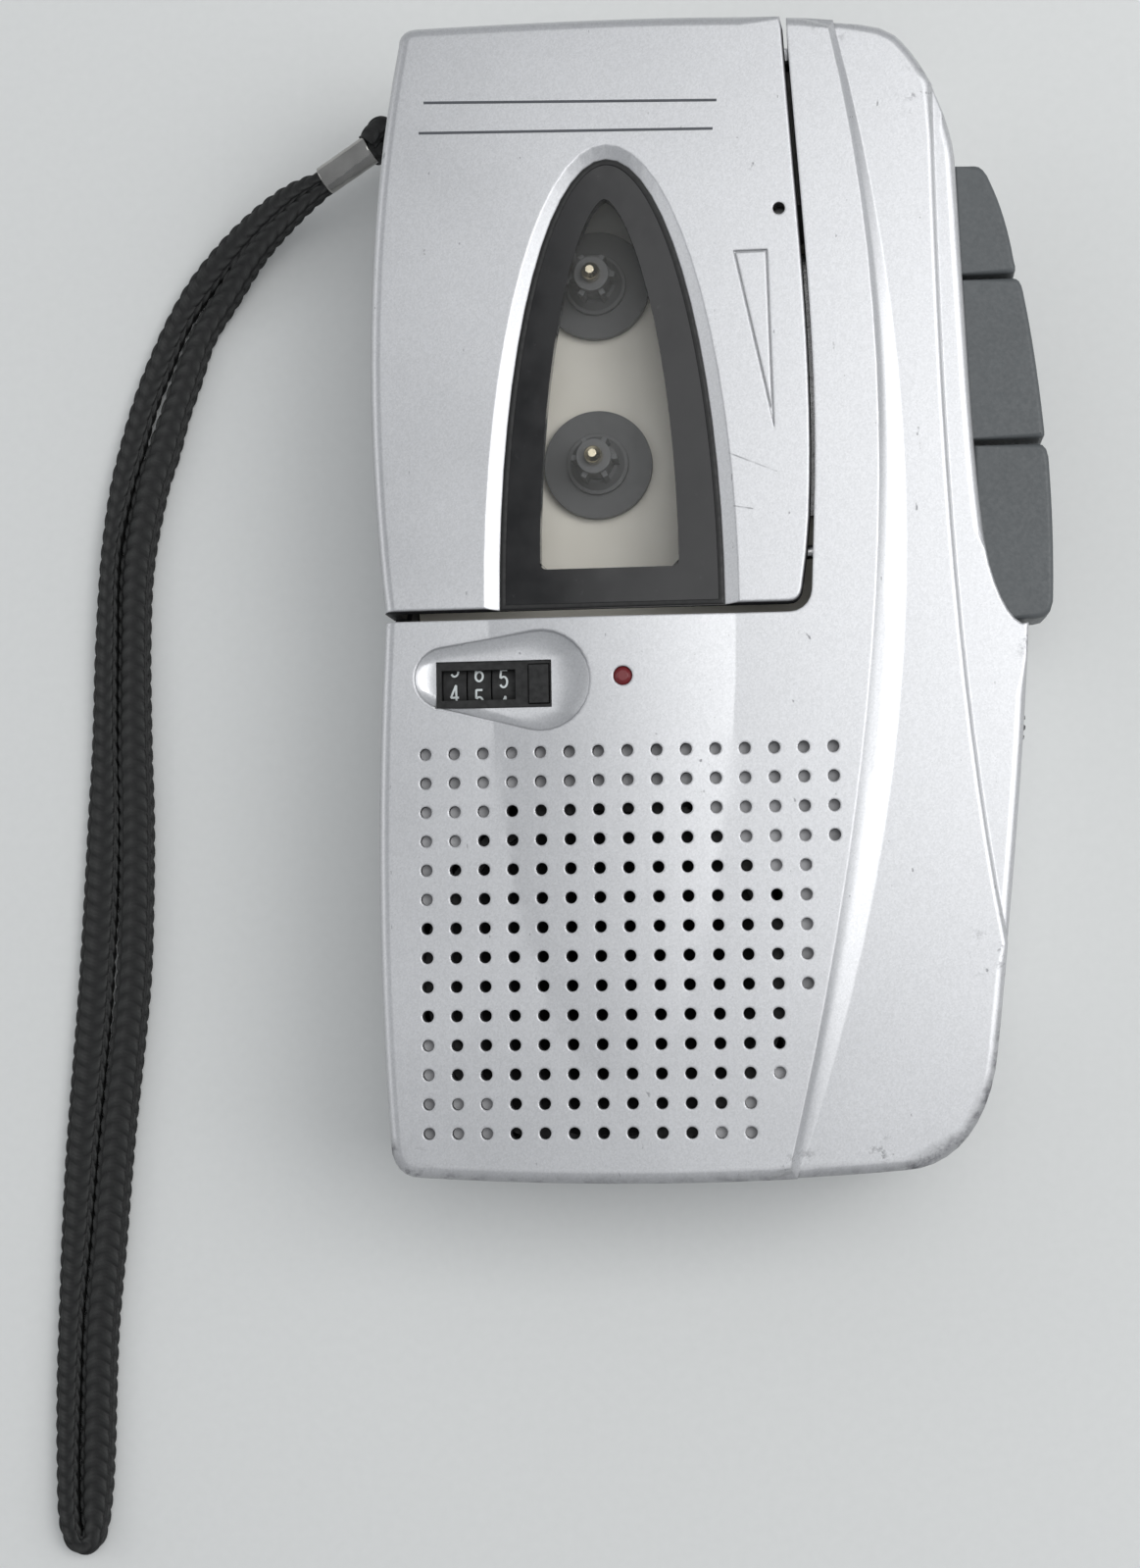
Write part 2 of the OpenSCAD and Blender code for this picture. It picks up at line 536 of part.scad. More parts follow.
module battery_cover() {
  color("silver") difference() {
    intersection() {
      back_solid();
      box([bay_x - bay_w / 2 + 0.15, yb - 1, -1], [bay_x + bay_w / 2 - 0.15, bay_top - 0.15, cover_t]);
    }
    for (i = [0:4]) box([bay_x - 7, -16 - 2 * i, -1], [bay_x + 7, -15 - 2 * i, 0.4]);
  }
}
module housing_screws() {
  color("silver") for (p = posts) translate([p[0], p[1], 0]) difference() {
    union() {
      translate([0, 0, 0.9]) cylinder(r = screw_r + 0.8, h = 1.5);
      translate([0, 0, 2.4 - tiny]) cylinder(r = screw_r, h = screw_top - 2.6);
    }
    translate([-1.2, -0.25, 0]) cube([2.4, 0.5, 1.6]);
    translate([-0.25, -1.2, 0]) cube([0.5, 2.4, 1.6]);
  }
}

module deck_plate() {
  color("ivory") difference() {
    translate([0, 0, deck_z - deck_t]) linear_extrude(deck_t) intersection() {
      polygon(inset(plain_outline, wall + 0.15));
      polygon([[xl, gap_y - door_gap / 2 - 1.2], [19.5, gap_y - door_gap / 2 - 1.2], [19.5, yt], [xl, yt]]);
    }
    for (p = posts) translate([p[0], p[1], deck_z - 2]) cylinder(r = post_r + clear, h = 3);
    for (p = [takeup, supply]) translate([p[0], p[1], deck_z - 2]) cylinder(r = 1 + run_play, h = 3);
    translate([capstan[0], capstan[1], deck_z - 2]) cylinder(r = hub_r, h = 3);
    translate([idler[0], idler[1], deck_z - 2]) cylinder(r = 1, h = 3);
    for (p = guides) translate([p[0], p[1], deck_z - 2]) cylinder(r = 0.9, h = 3);
  }
}
// Reel: a disc with a hub and six drive splines, bored for its shaft.
module reel(at) {
  color("dimgrey") translate([at[0], at[1], deck_z + clear]) difference() {
    union() {
      cylinder(r = reel_r, h = 1);
      cylinder(r = 3.4, h = 1.6);
      translate([0, 0, 1.6]) cylinder(r1 = 3, r2 = 2.3, h = 0.8);
      cylinder(r = 1.9, h = 6.2);
      for (a = [0:60:300]) rotate(a) translate([1.5, -0.3, 0]) cube([1, 0.6, 5.6]);
    }
    translate([0, 0, -1]) cylinder(r = 1, h = 9);
  }
}
module supply_reel() {
  reel(supply);
}
module takeup_reel() {
  reel(takeup);
}
module reel_pin(at) {
  color("silver") translate([at[0], at[1], 10]) {
    cylinder(r = 1, h = zf - 4.8 - 10);
    translate([0, 0, zf - 4.8 - 10]) cylinder(r1 = 1, r2 = 0.45, h = 0.9);
  }
}
module supply_shaft() {
  reel_pin(supply);
  color("silver") translate([supply[0], supply[1], deck_z - deck_t - clear - 0.7]) cylinder(r = 1.9, h = 0.7);
}
module takeup_shaft() {
  reel_pin(takeup);
}
module takeup_wheel() {
  color("white") translate([takeup[0], takeup[1], wheel_low]) difference() {
    cylinder(r = wheel_r, h = wheel_high - wheel_low);
    translate([0, 0, -1]) cylinder(r = 1, h = 4);
    for (a = [0:60:300]) rotate(a) translate([4, 0, -1]) cylinder(r = 1.1, h = 4);
  }
}
module capstan_shaft() {
  color("silver") translate([capstan[0], capstan[1], wall + 0.2]) cylinder(r = capstan_r, h = zf - 3.4 - wall - 0.2);
}
module flywheel() {
  color("goldenrod") translate([capstan[0], capstan[1], 0]) difference() {
    union() {
      translate([0, 0, belt_z - 1.05]) cylinder(r = flywheel_r, h = 0.9);
      translate([0, 0, belt_z - 0.2]) cylinder(r = flywheel_r - 0.8, h = belt_t + 0.4);
      translate([0, 0, belt_z + belt_t + 0.15]) cylinder(r = flywheel_r, h = 0.9);
      translate([0, 0, belt_z]) cylinder(r = hub_r, h = wheel_high - belt_z);
    }
    translate([0, 0, 1]) cylinder(r = capstan_r, h = 14);
    translate([0, 0, belt_z + 1.3]) difference() {
      cylinder(r = flywheel_r - 2.6, h = 2);
      translate([0, 0, -1]) cylinder(r = hub_r + 1.4, h = 4);
    }
  }
}
module capstan_bearing() {
  color("peru") translate([capstan[0], capstan[1], wheel_high + 0.2]) difference() {
    cylinder(r = hub_r, h = deck_z + 1.4 - wheel_high - 0.2);
    translate([0, 0, -1]) cylinder(r = capstan_r + run_play, h = 8);
  }
}
module idler_wheel() {
  color("dimgrey") translate([idler[0], idler[1], wheel_low]) difference() {
    cylinder(r = idler_r, h = wheel_high - wheel_low);
    translate([0, 0, -1]) cylinder(r = 1 + run_play, h = 4);
  }
}
module idler_shaft() {
  color("silver") translate([idler[0], idler[1], wheel_low - 1]) {
    cylinder(r = 1, h = deck_z - wheel_low + 1);
    cylinder(r = 1.8, h = 0.6);
  }
}
module motor() {
  base = belt_z + belt_t + 3 * clear;
  color("silver") translate([motor_at[0], motor_at[1], base]) difference() {
    union() {
      cylinder(r = motor_r, h = deck_z - deck_t - base);
      translate([0, 0, -0.5]) cylinder(r = 3, h = 1);
    }
    translate([0, 0, -2]) cylinder(r = 0.75 + run_play, h = 6);
  }
}
module motor_pulley() {
  color("goldenrod") translate([motor_at[0], motor_at[1], 0]) {
    translate([0, 0, belt_z - 0.75]) cylinder(r = 2.7, h = 0.6);
    translate([0, 0, belt_z - 0.3]) cylinder(r = 2, h = belt_t + 0.4);
    translate([0, 0, belt_z]) cylinder(r = 0.75, h = 5);
  }
}
// Belt: a ring with two round ends and straight runs, a hair clear of both grooves.
module belt_loop(g) {
  hull() {
    translate(capstan) circle(r = flywheel_r - 0.8 + g);
    translate(motor_at) circle(r = 2 + g, $fn = 32);
  }
}
module drive_belt() {
  color("black") translate([0, 0, belt_z]) linear_extrude(belt_t) difference() {
    belt_loop(0.95);
    belt_loop(0.05);
  }
}
module head_carriage() {
  color("silver") translate([0, 0, carriage_z]) difference() {
    linear_extrude(carriage_t) polygon([[roller_at[0] - 2.2, 9.4], [carriage_tail - 7.5, 9.4],
      [carriage_tail - 6, 10.5], [carriage_tail - 2.5, 10.5], [carriage_tail - 2.5, 20], [carriage_tail, 20],
      [carriage_tail, 30], [carriage_tail - 2.5, 30], [carriage_tail - 2.5, 37.5], [carriage_tail - 6.5, 38.6],
      [roller_at[0] - 2.2, 38.6]]);
    for (p = guides) {
      translate([p[0], p[1], -1]) cylinder(r = 0.9 + clear, h = 3);
      translate([p[0] + key_travel, p[1], -1]) cylinder(r = 0.9 + clear, h = 3);
      box([p[0], p[1] - 0.9 - clear, -1], [p[0] + key_travel, p[1] + 0.9 + clear, 2]);
    }
    // Notch that clears the capstan bearing with the key pressed.
    translate([capstan[0] + key_travel, capstan[1], -1]) cylinder(r = hub_r + clear, h = 3);
  }
}
module carriage_guides() {
  color("silver") for (p = guides) translate([p[0], p[1], deck_z - deck_t]) {
    cylinder(r = 0.9, h = deck_t + carriage_t + 2 * clear);
    translate([0, 0, deck_t + carriage_t + 2 * clear]) cylinder(r = 1.7, h = 0.6);
  }
}
module record_head() {
  color("silver") translate([roller_at[0], 25.9, carriage_top]) {
    box([-0.2, -3.5, 0], [2.4, 3.5, 7.4]);
    intersection() {
      translate([1.9, 0, 0.6]) cylinder(r = 3.4, h = 6.2);
      box([-3, -3, 0], [0.2, 3, 8]);
    }
  }
}
module erase_head() {
  color("dimgrey") translate([roller_at[0], 34.6, carriage_top]) {
    box([-0.6, -1.8, 0], [2.2, 1.8, 5.6]);
    box([-1.2, -1.2, 1], [-0.5, 1.2, 4.8]);
  }
}
module pinch_shaft() {
  color("silver") translate([roller_at[0], roller_at[1], carriage_top]) {
    cylinder(r = 0.8, h = zf - 4 - carriage_top);
    cylinder(r = 1.6, h = 0.4);
  }
}
module pinch_roller() {
  color("black") translate([roller_at[0], roller_at[1], carriage_top + 0.5]) difference() {
    cylinder(r = roller_r, h = 6);
    translate([0, 0, -1]) cylinder(r = 0.8 + run_play, h = 9);
  }
}

// Key: a cap with softened edges outside the wall, a flange behind it and a tail into the case.
// The keys share the side between the shoulder and the upper bend, whatever the length of the case.
function along_side(y) = (y + 3.2) * key_share - 3.2;
module key(shape, from_y, to_y, tail_x) {
  r = 0.5;
  y0 = along_side(from_y);
  y1 = along_side(to_y);
  outline = [for (p = shape) [p[0], along_side(p[1])]];
  rings = concat([for (a = [90:-22.5:0]) [for (i = [0:len(outline) - 1])
    let (q = outline[i] - r * (1 - cos(a)) * outward(outline, i)) [q[0], q[1], key_low + r - r * sin(a)]]],
    [for (a = [0:22.5:90]) [for (i = [0:len(outline) - 1])
    let (q = outline[i] - r * (1 - cos(a)) * outward(outline, i)) [q[0], q[1], key_high - r + r * sin(a)]]]);
  color("dimgrey") {
    skin(rings);
    box([xs - 9.8, y0 + 0.4, key_low + 0.2], [xs - 8.7, y1 - 0.4, key_high + 0.6]);
    box([tail_x, (y0 + y1) / 2 - 3.5, key_low + 0.5], [xs - 3, (y0 + y1) / 2 + 3.5, key_high - 1]);
  }
}
function side_curve(a, h, b, n) = [for (i = [0:n]) let (t = i / n) a * (1 - t) * (1 - t) + 2 * h * t * (1 - t) + b * t * t];
function soft_corner(a, k, b) = side_curve(mix(k, a, 1), k, b, 3);
module upper_key() {
  key(concat([[xs - 6.4, 34.1], [xk - 4.2, 34.1]], soft_corner([xk - 3.8, 34.1], [xk - 3.1, 34.1], [xk - 3.25, 34.9]),
    side_curve([xk - 3.4, 35.6], [xk - 4.1, 40.5], [xk - 5.7, 44.2], 8), soft_corner([xk - 6, 44.9], [xk - 6.6, 46],
    [xk - 7.3, 46]), [[xs - 6.7, 46]]), 34.1, 46, xs - 10.75);
}
module middle_key() {
  key(concat([[xs - 5.6, 16.2], [xk - 1.4, 16.2]], soft_corner([xk - 1.1, 16.2], [xk - 0.5, 16.2], [xk - 0.6, 16.9]),
    side_curve([xk - 0.65, 17.5], [xk - 1.3, 25.5], [xk - 2.5, 32.2], 8), soft_corner([xk - 2.65, 32.8],
    [xk - 2.9, 33.6], [xk - 3.6, 33.6]), [[xs - 6.3, 33.6]]), 16.2, 33.6, carriage_tail + 0.05);
}
module lower_key() {
  key(concat([[xs - 5.2, -3.2], [xk - 2.6, -3.2]], soft_corner([xk - 2, -3.2], [xk - 0.4, -3.2], [xk - 0.15, -1.4]),
    side_curve([xk - 0.1, -0.6], [xk + 0.15, 6.5], [xk - 0.2, 13.4], 8), soft_corner([xk - 0.25, 14.2],
    [xk - 0.4, 15.6], [xk - 1.4, 15.6]), [[xs - 5.2, 15.6]]), -3.2, 15.6, xs - 10.75);
}

module counter_frame() {
  low = count_z - 1.6;
  color("black") difference() {
    union() {
      box([mask[0][0], mask[0][1], roof], [mask[1][0], mask[1][1], roof + 0.7]);
      box([mask[0][0] - 1.4, mask[0][1] - 0.8, roof - 0.8], [mask[0][0] + 0.4, mask[1][1] + 0.8, roof]);
      box([count_x + 2.5 * count_pitch + 0.2, mask[0][1] - 0.8, roof - 0.8], [mask[1][0] + 1.4, mask[1][1] + 0.8, roof]);
      for (x = [count_x - count_pitch / 2 - 0.6, count_x + 2.5 * count_pitch + 0.1])
        box([x, count_y - 2, low], [x + 0.5, count_y + 2, roof]);
    }
    box([count_x - count_pitch / 2, count_y - 1.6, roof - 1], [count_x + 2.5 * count_pitch, count_y + 1.6, zf]);
    box([button[0] - 1.15, button[1] - 2.15, roof - 2], [button[0] + 1.15, button[1] + 2.15, zf]);
    along_x([count_y, count_z], 0.6 + fit, count_x - 2 * count_pitch, count_x + 4 * count_pitch);
  }
}
module counter_axle() {
  color("silver") along_x([count_y, count_z], 0.6, count_x - count_pitch / 2 - 0.6, count_x + 2.5 * count_pitch + 0.6);
}
module number_wheel(i) {
  color("black") difference() {
    along_x([count_y, count_z], count_r, count_x + (i - 0.5) * count_pitch + 0.08, count_x + (i + 0.5) * count_pitch - 0.08);
    along_x([count_y, count_z], 0.6 + run_play, count_x - 2 * count_pitch, count_x + 4 * count_pitch);
  }
}
module hundreds_wheel() {
  number_wheel(0);
}
module tens_wheel() {
  number_wheel(1);
}
module units_wheel() {
  number_wheel(2);
}
module reset_button() {
  color("black") {
    box([button[0] - 1.05, button[1] - 2.05, count_z - 2], [button[0] + 1.05, button[1] + 2.05, roof + 0.9]);
    box([button[0] - 1.05, button[1] - 2.9, count_z - 2], [button[0] + 1.05, button[1] + 2.9, roof - 1.1]);
  }
}
module led_lens() {
  color("darkred") translate([led_at[0], led_at[1], 0]) {
    translate([0, 0, roof - 2.4]) cylinder(r = 1.5, h = 2.4);
    translate([0, 0, roof]) cylinder(r = 1, h = wall + swell_h - 0.3);
    translate([0, 0, zf + swell_h - 0.3]) cylinder(r1 = 1, r2 = 0.55, h = 0.35);
  }
}
module mic_capsule() {
  color("silver") translate([mic_at[0], mic_at[1], zf - 6]) difference() {
    cylinder(r = 2, h = 3.4);
    translate([0, 0, 3]) cylinder(r = 1.2, h = 2);
  }
}

module speaker_frame() {
  color("dimgrey") translate([speaker_at[0], speaker_at[1], 0]) rotate_extrude() polygon([[speaker_r - 2.2, roof],
    [speaker_r, roof], [speaker_r, roof - 1.2], [speaker_r - 2.4, roof - 1.2], [9.4, roof - 6.4], [3, roof - 6.4],
    [3, roof - 5.8], [9.1, roof - 5.8], [speaker_r - 2.8, roof - 0.9], [speaker_r - 2.2, roof - 0.9]]);
}
module speaker_cone() {
  color("black") translate([speaker_at[0], speaker_at[1], 0]) rotate_extrude() polygon([[0, roof - 3.6], [2.5, roof - 3.9],
    [4.6, roof - 4.6], [speaker_r - 4.4, roof - 1.2], [speaker_r - 3.4, roof - 0.7], [speaker_r - 2.4, roof - 0.9],
    [speaker_r - 2.4, roof - 0.5], [speaker_r - 3.4, roof - 0.3], [speaker_r - 4.6, roof - 0.8], [4.7, roof - 4.2],
    [2.5, roof - 3.4], [0, roof - 3.1]]);
}
module speaker_magnet() {
  color("dimgrey") translate([speaker_at[0], speaker_at[1], cell_z + cell_r + 0.3])
    cylinder(r = 8, h = roof - 6.4 - cell_z - cell_r - 0.3);
}

module circuit_board() {
  color("darkgreen") translate([0, 0, board_z]) linear_extrude(board_t)
    polygon([[6.2, yb + 10.25], [xs - 14.25, yb + 10.25], [xs - 7.5, yb + 16.25], [xs - 4.2, -10], [6.2, -9]]);
}
module board_parts() {
  top_z = board_z + board_t;
  color("black") {
    box([xs - 23.25, -44, top_z], [xs - 15.25, -34, top_z + 1.6]);
    box([xs - 23.25, -28, top_z], [xs - 17.25, -20, top_z + 1.6]);
    for (p = [[xs - 11.25, -42], [xs - 11.75, -34], [xs - 11.25, -26]]) translate([p[0], p[1], top_z]) cylinder(r = 2, h = 5);
  }
}
module volume_pot() {
  color("silver") translate([volume_at[0], volume_at[1], board_z + board_t]) {
    translate([-4, -4, 0]) cube([6, 8, 2]);
    cylinder(r = 1.2, h = 6);
  }
}
module volume_wheel() {
  color("black") translate([volume_at[0], volume_at[1], volume_z]) difference() {
    cylinder(r = volume_r, h = 3, $fn = 96);
    translate([0, 0, -1]) cylinder(r = 1.2 + run_play, h = 6);
    for (a = [0:9:351]) rotate(a) translate([volume_r + 0.2, 0, -1]) cylinder(r = 0.42, h = 6, $fn = 13);
  }
}
// Jack: a bored barrel whose collar fills the hole in the end wall.
module jack(x, y_out, y_in) {
  color("dimgrey") difference() {
    union() {
      along_y(x, jack_z, jack_r, min(y_out, y_in), max(y_out, y_in));
      along_y(x, jack_z, jack_r + 0.8, min(y_in, y_out + sign(y_in - y_out) * 4), max(y_in, y_out + sign(y_in - y_out) * 4));
    }
    along_y(x, jack_z, 1.78, min(y_out, y_in + sign(y_out - y_in) * 1.5) - (y_out < y_in ? 1 : 0),
      max(y_out, y_in + sign(y_out - y_in) * 1.5) + (y_out > y_in ? 1 : 0));
  }
}
module ear_jack() {
  jack(plug_at[1], yt - 1.2, yt - 13);
}
module mic_jack() {
  jack(plug_at[0], yt - 1.2, yt - 13);
}
module dc_jack() {
  jack(dc_x, yb + 1.3, yb + 12);
}
module switch_bodies() {
  color("silver") for (x = switch_at) box([x - switch_half, yt - 7.4, wall], [x + switch_half, yt - 4.2, jack_z + 3]);
}
module slider(x) {
  color("black") {
    box([x - 1.3, yt - 4, jack_z - 0.8], [x + 1.3, yt + 0.3, jack_z + 0.8]);
    box([x - 3.6, yt - 3.9, jack_z - 1.8], [x + 3.6, yt - 3, jack_z + 1.8]);
  }
}
module speed_switch() {
  slider(switch_at[0]);
}
module vox_switch() {
  slider(switch_at[1]);
}

module cells() {
  color("slategrey") for (s = [-1, 1]) translate([bay_x + s * cell_pitch / 2, (bay_top + bay_low) / 2, cell_z])
    rotate([s * 90, 0, 0]) translate([0, 0, -cell_l / 2]) {
      cylinder(r = cell_r, h = cell_l - 1.2);
      cylinder(r = 2.75, h = cell_l);
    }
}
module cell_contacts() {
  color("silver") for (e = [-1, 1], s = [-1, 1]) {
    y = e < 0 ? bay_low : bay_top;
    box([bay_x + s * cell_pitch / 2 - 5, min(y, y - e * 0.4), cover_t + 1],
      [bay_x + s * cell_pitch / 2 + 5, max(y, y - e * 0.4), seam_z]);
    along_y(bay_x + s * cell_pitch / 2, cell_z, 2.4, min(y, y - e * contact_gap), max(y, y - e * contact_gap));
  }
}

module strap_bar() {
  color("silver") translate([bar_at[0], bar_at[1], pocket_z[0] - 2]) cylinder(r = 0.8, h = seam_z - pocket_z[0] + 2);
}
// Tube swept along a route of points; w and t give its width and thickness at each point.
module sweep(route, w, t) {
  last = len(route) - 1;
  rings = [for (i = [0:last])
    let (d = unit(route[min(i + 1, last)] - route[max(i - 1, 0)]), s = unit(cross(d, [0, 0, 1])), u = cross(s, d))
    [for (k = [0:7]) route[i] + s * w[i] / 2 * cos(45 * k + 22.5) + u * t[i] / 2 * sin(45 * k + 22.5)]];
  skin(rings);
}
function arc_route(at, r, z, a0, a1, n) = [for (i = [0:n]) let (a = mix(a0, a1, i / n))
  [at[0] + r * cos(a), at[1] + r * sin(a), z]];
module strap_cord() {
  turn = arc_route(bar_at, 1.75, (pocket_z[0] + pocket_z[1]) / 2, 100, -90, 8);
  route = concat([ferrule_from + [0.4, 0.9, 0], [-37, 56.2, 10.3]], turn, [[-37, 53.2, 9.8], ferrule_from + [0.1, -0.7, 0]]);
  color("black") sweep(route, same(route, 1.7), same(route, 1.7));
}
module strap_ferrule() {
  d = ferrule_to - ferrule_from;
  color("silver") translate(ferrule_from) rotate([0, acos(d[2] / norm(d)), atan2(d[1], d[0])])
    cylinder(r = 1.7, h = norm(d));
}
// The loop lies flat: out along the left strand, round a tight end, back along the right strand. Each row is a point, what
// the strand loses in width there by leaning on its edge, and what it gains in height.
strap_rows = [[-44.4, 51.8, 10, 3, 0], [-49.5, 50.3, 7.5, 2.3, 0], [-55.3, 47.2, 4.2, 1.6, 0], [-60.5, 42.5, 2, 1.1, 0],
  [-64, 37.6, 1.2, 1.2, 0], [-66.8, 31.6, 1, 1, 0], [-68.5, 27.2, 1, 1.1, 0], [-70, 22, 1.1, 1.1, 0.2],
  [-71.3, 17, 1.2, 1.4, 0.4], [-72.7, 9.4, 1.3, 1.9, 0.6], [-73.2, -1, 1.3, 1.5, 0.5], [-73.5, -13, 1.1, 1.1, 0.2],
  [-73.7, -21, 1, 0.4, 0], [-74, -29, 1, 0.1, 0], [-74.5, -38, 1, 0, 0], [-75.1, -46, 1, 0, 0], [-76.4, -60, 1, 0.3, 0],
  [-77.1, -70, 1, 0.6, 0.1], [-77.7, -79, 1.1, 1.2, 0.2], [-78, -88, 1.2, 1.3, 0.4], [-78.1, -97, 1.3, 1.6, 0.6],
  [-77.9, -103, 1.4, 1.7, 0.8], [-77.2, -105.6, 1.4, 1.9, 0.8], [-75.9, -106.2, 1.4, 1.9, 0.8],
  [-74.8, -105, 1.3, 1.5, 0.6], [-74.5, -101.5, 1.1, 0.5, 0.2], [-74.3, -95.5, 1, 0.1, 0], [-73.9, -82.5, 1, 0, 0],
  [-72.9, -71.5, 1, 0, 0], [-71.8, -59, 1, 0, 0], [-70.5, -47.5, 1, 0, 0], [-69.8, -40, 1, 0, 0], [-69.5, -31.5, 1, 0, 0],
  [-69.4, -22, 1, 0, 0], [-69.6, -13, 1, 0.1, 0], [-69.6, -1, 1, 0.3, 0], [-69.2, 8.5, 1, 0.1, 0], [-67.5, 17.3, 1, 0.1, 0],
  [-66.1, 22, 1, 0.2, 0], [-64.7, 26.4, 1, 0.6, 0], [-63.2, 30.6, 1, 0.6, 0], [-61.2, 35.6, 1.2, 1, 0],
  [-58.1, 39.9, 2, 1, 0], [-53.7, 44.7, 4.2, 1.5, 0], [-48.3, 48.3, 7.5, 2.3, 0], [-43.6, 50.5, 10, 3, 0]];
module wrist_strap() {
  color("black") sweep([for (p = strap_rows) [p[0], p[1], p[2]]], [for (p = strap_rows) strap_w - p[3]],
    [for (p = strap_rows) strap_t + p[4]]);
}

rear_housing();
front_housing();
cassette_door();
window_bezel();
window_lens();
hinge_pins();
battery_cover();
housing_screws();
deck_plate();
supply_reel();
takeup_reel();
supply_shaft();
takeup_shaft();
takeup_wheel();
capstan_shaft();
flywheel();
capstan_bearing();
idler_wheel();
idler_shaft();
motor();
motor_pulley();
drive_belt();
head_carriage();
carriage_guides();
record_head();
erase_head();
pinch_shaft();
pinch_roller();
upper_key();
middle_key();
lower_key();
counter_frame();
counter_axle();
units_wheel();
tens_wheel();
hundreds_wheel();
reset_button();
led_lens();
mic_capsule();
speaker_frame();
speaker_cone();
speaker_magnet();
circuit_board();
board_parts();
volume_pot();
volume_wheel();
ear_jack();
mic_jack();
dc_jack();
switch_bodies();
speed_switch();
vox_switch();
cells();
cell_contacts();
strap_bar();
strap_cord();
strap_ferrule();
wrist_strap();
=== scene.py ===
# Looks of a handheld microcassette recorder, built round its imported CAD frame. Metres, in the frame's own axes:
# it lies on its back, +Z is the front, +Y the top end, +X the side with the keys.
import math

import bpy
import numpy as np
from mathutils import Matrix, Vector
from mathutils.geometry import delaunay_2d_cdt


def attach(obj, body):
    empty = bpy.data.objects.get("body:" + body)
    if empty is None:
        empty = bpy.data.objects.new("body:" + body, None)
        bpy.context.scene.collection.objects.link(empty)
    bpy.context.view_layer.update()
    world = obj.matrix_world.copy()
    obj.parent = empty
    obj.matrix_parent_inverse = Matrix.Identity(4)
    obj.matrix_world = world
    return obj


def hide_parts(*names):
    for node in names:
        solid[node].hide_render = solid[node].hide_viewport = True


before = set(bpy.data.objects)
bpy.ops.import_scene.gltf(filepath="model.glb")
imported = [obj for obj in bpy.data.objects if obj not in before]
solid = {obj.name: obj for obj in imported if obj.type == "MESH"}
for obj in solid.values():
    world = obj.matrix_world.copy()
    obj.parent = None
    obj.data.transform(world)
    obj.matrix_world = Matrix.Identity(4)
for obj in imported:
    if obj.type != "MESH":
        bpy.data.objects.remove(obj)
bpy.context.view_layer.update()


# Rear housing: one injection moulding in ABS, sprayed silver. Four screws from the back hold it to the front
# housing, and its walls carry the strap bar, the jacks and the battery bay.
def shader_part(tree, kind, sockets=None, **settings):
    """Adds one shader node; a socket given another node's output is linked to it, any other value is set."""
    part = tree.nodes.new("ShaderNode" + kind)
    for key, value in settings.items():
        setattr(part, key, value)
    for key, value in (sockets or {}).items():
        if isinstance(value, bpy.types.NodeSocket):
            tree.links.new(value, part.inputs[key])
        else:
            part.inputs[key].default_value = value
    return part


def bare_finish(name, colour, roughness, metallic=0.0, **sockets):
    """A Principled material with its constant values on the shader's sockets, and its Object coordinates."""
    finish = bpy.data.materials.new(name)
    finish.use_nodes = True
    tree = finish.node_tree
    shader = tree.nodes["Principled BSDF"]
    shader.inputs["Base Color"].default_value = (*colour, 1)
    shader.inputs["Roughness"].default_value = roughness
    shader.inputs["Metallic"].default_value = metallic
    for key, value in sockets.items():
        shader.inputs[key.replace("_", " ")].default_value = value
    return finish, tree, shader, shader_part(tree, "TexCoord").outputs["Object"]


def between(tree, value, low, high, start=0.0, end=1.0):
    """Value mapped from start..end to low..high, clamped."""
    return shader_part(tree, "MapRange", {"Value": value, "From Min": start, "From Max": end, "To Min": low,
                                          "To Max": high}).outputs["Result"]


def blended(tree, factor, colour_a, colour_b):
    """Colour a where factor is 0, colour b where it is 1."""
    return shader_part(tree, "Mix", {"Factor": factor, 6: colour_a, 7: colour_b}, data_type="RGBA").outputs[2]


def maths(tree, operation, a, b=0.0):
    """One Math node."""
    return shader_part(tree, "Math", {0: a, 1: b}, operation=operation).outputs[0]


def speckle(tree, where, scale, detail=2.0, roughness=0.5):
    """Noise of that many cells a metre."""
    return shader_part(tree, "TexNoise", {"Vector": where, "Scale": scale, "Detail": detail,
                                          "Roughness": roughness}).outputs["Fac"]


def tough_plastic(name, colour, roughness, spread=0.12, grain=2200.0, depth=0.2):
    """Moulded plastic: slightly cloudy colour, and the fine spark texture of the tool in gloss and bump."""
    finish, tree, shader, where = bare_finish(name, colour, roughness)
    cloud = speckle(tree, where, 130, 5, 0.6)
    dark = tuple(c * (1 - spread) for c in colour)
    light = tuple(c * (1 + spread) for c in colour)
    tree.links.new(blended(tree, between(tree, cloud, 0, 1, 0.3, 0.7), (*dark, 1), (*light, 1)),
                   shader.inputs["Base Color"])
    spark = speckle(tree, where, grain, 3)
    tree.links.new(between(tree, spark, 0.8 * roughness, 1.2 * roughness, 0.3, 0.7), shader.inputs["Roughness"])
    soft = shader_part(tree, "Bevel", {"Radius": 0.00015}, samples=4).outputs[0]
    bump = shader_part(tree, "Bump", {"Height": spark, "Strength": depth, "Distance": 0.00004, "Normal": soft})
    tree.links.new(bump.outputs[0], shader.inputs["Normal"])
    return finish


# Rubbed places on the case, each a centre and a reach in millimetres: the bottom corners, the ends of the long
# bevel, the shoulder under the keys and the upper right bend.
rubbed = [(-33, -60.6, 25.5, 6.5), (7.6, -61.6, 26, 5), (17.5, -59.6, 25.5, 4), (14, 60.6, 26, 3.4),
          (24.4, 53, 25, 4.5), (32.6, -5, 24.4, 3.2), (30, -38, 24.8, 5)]

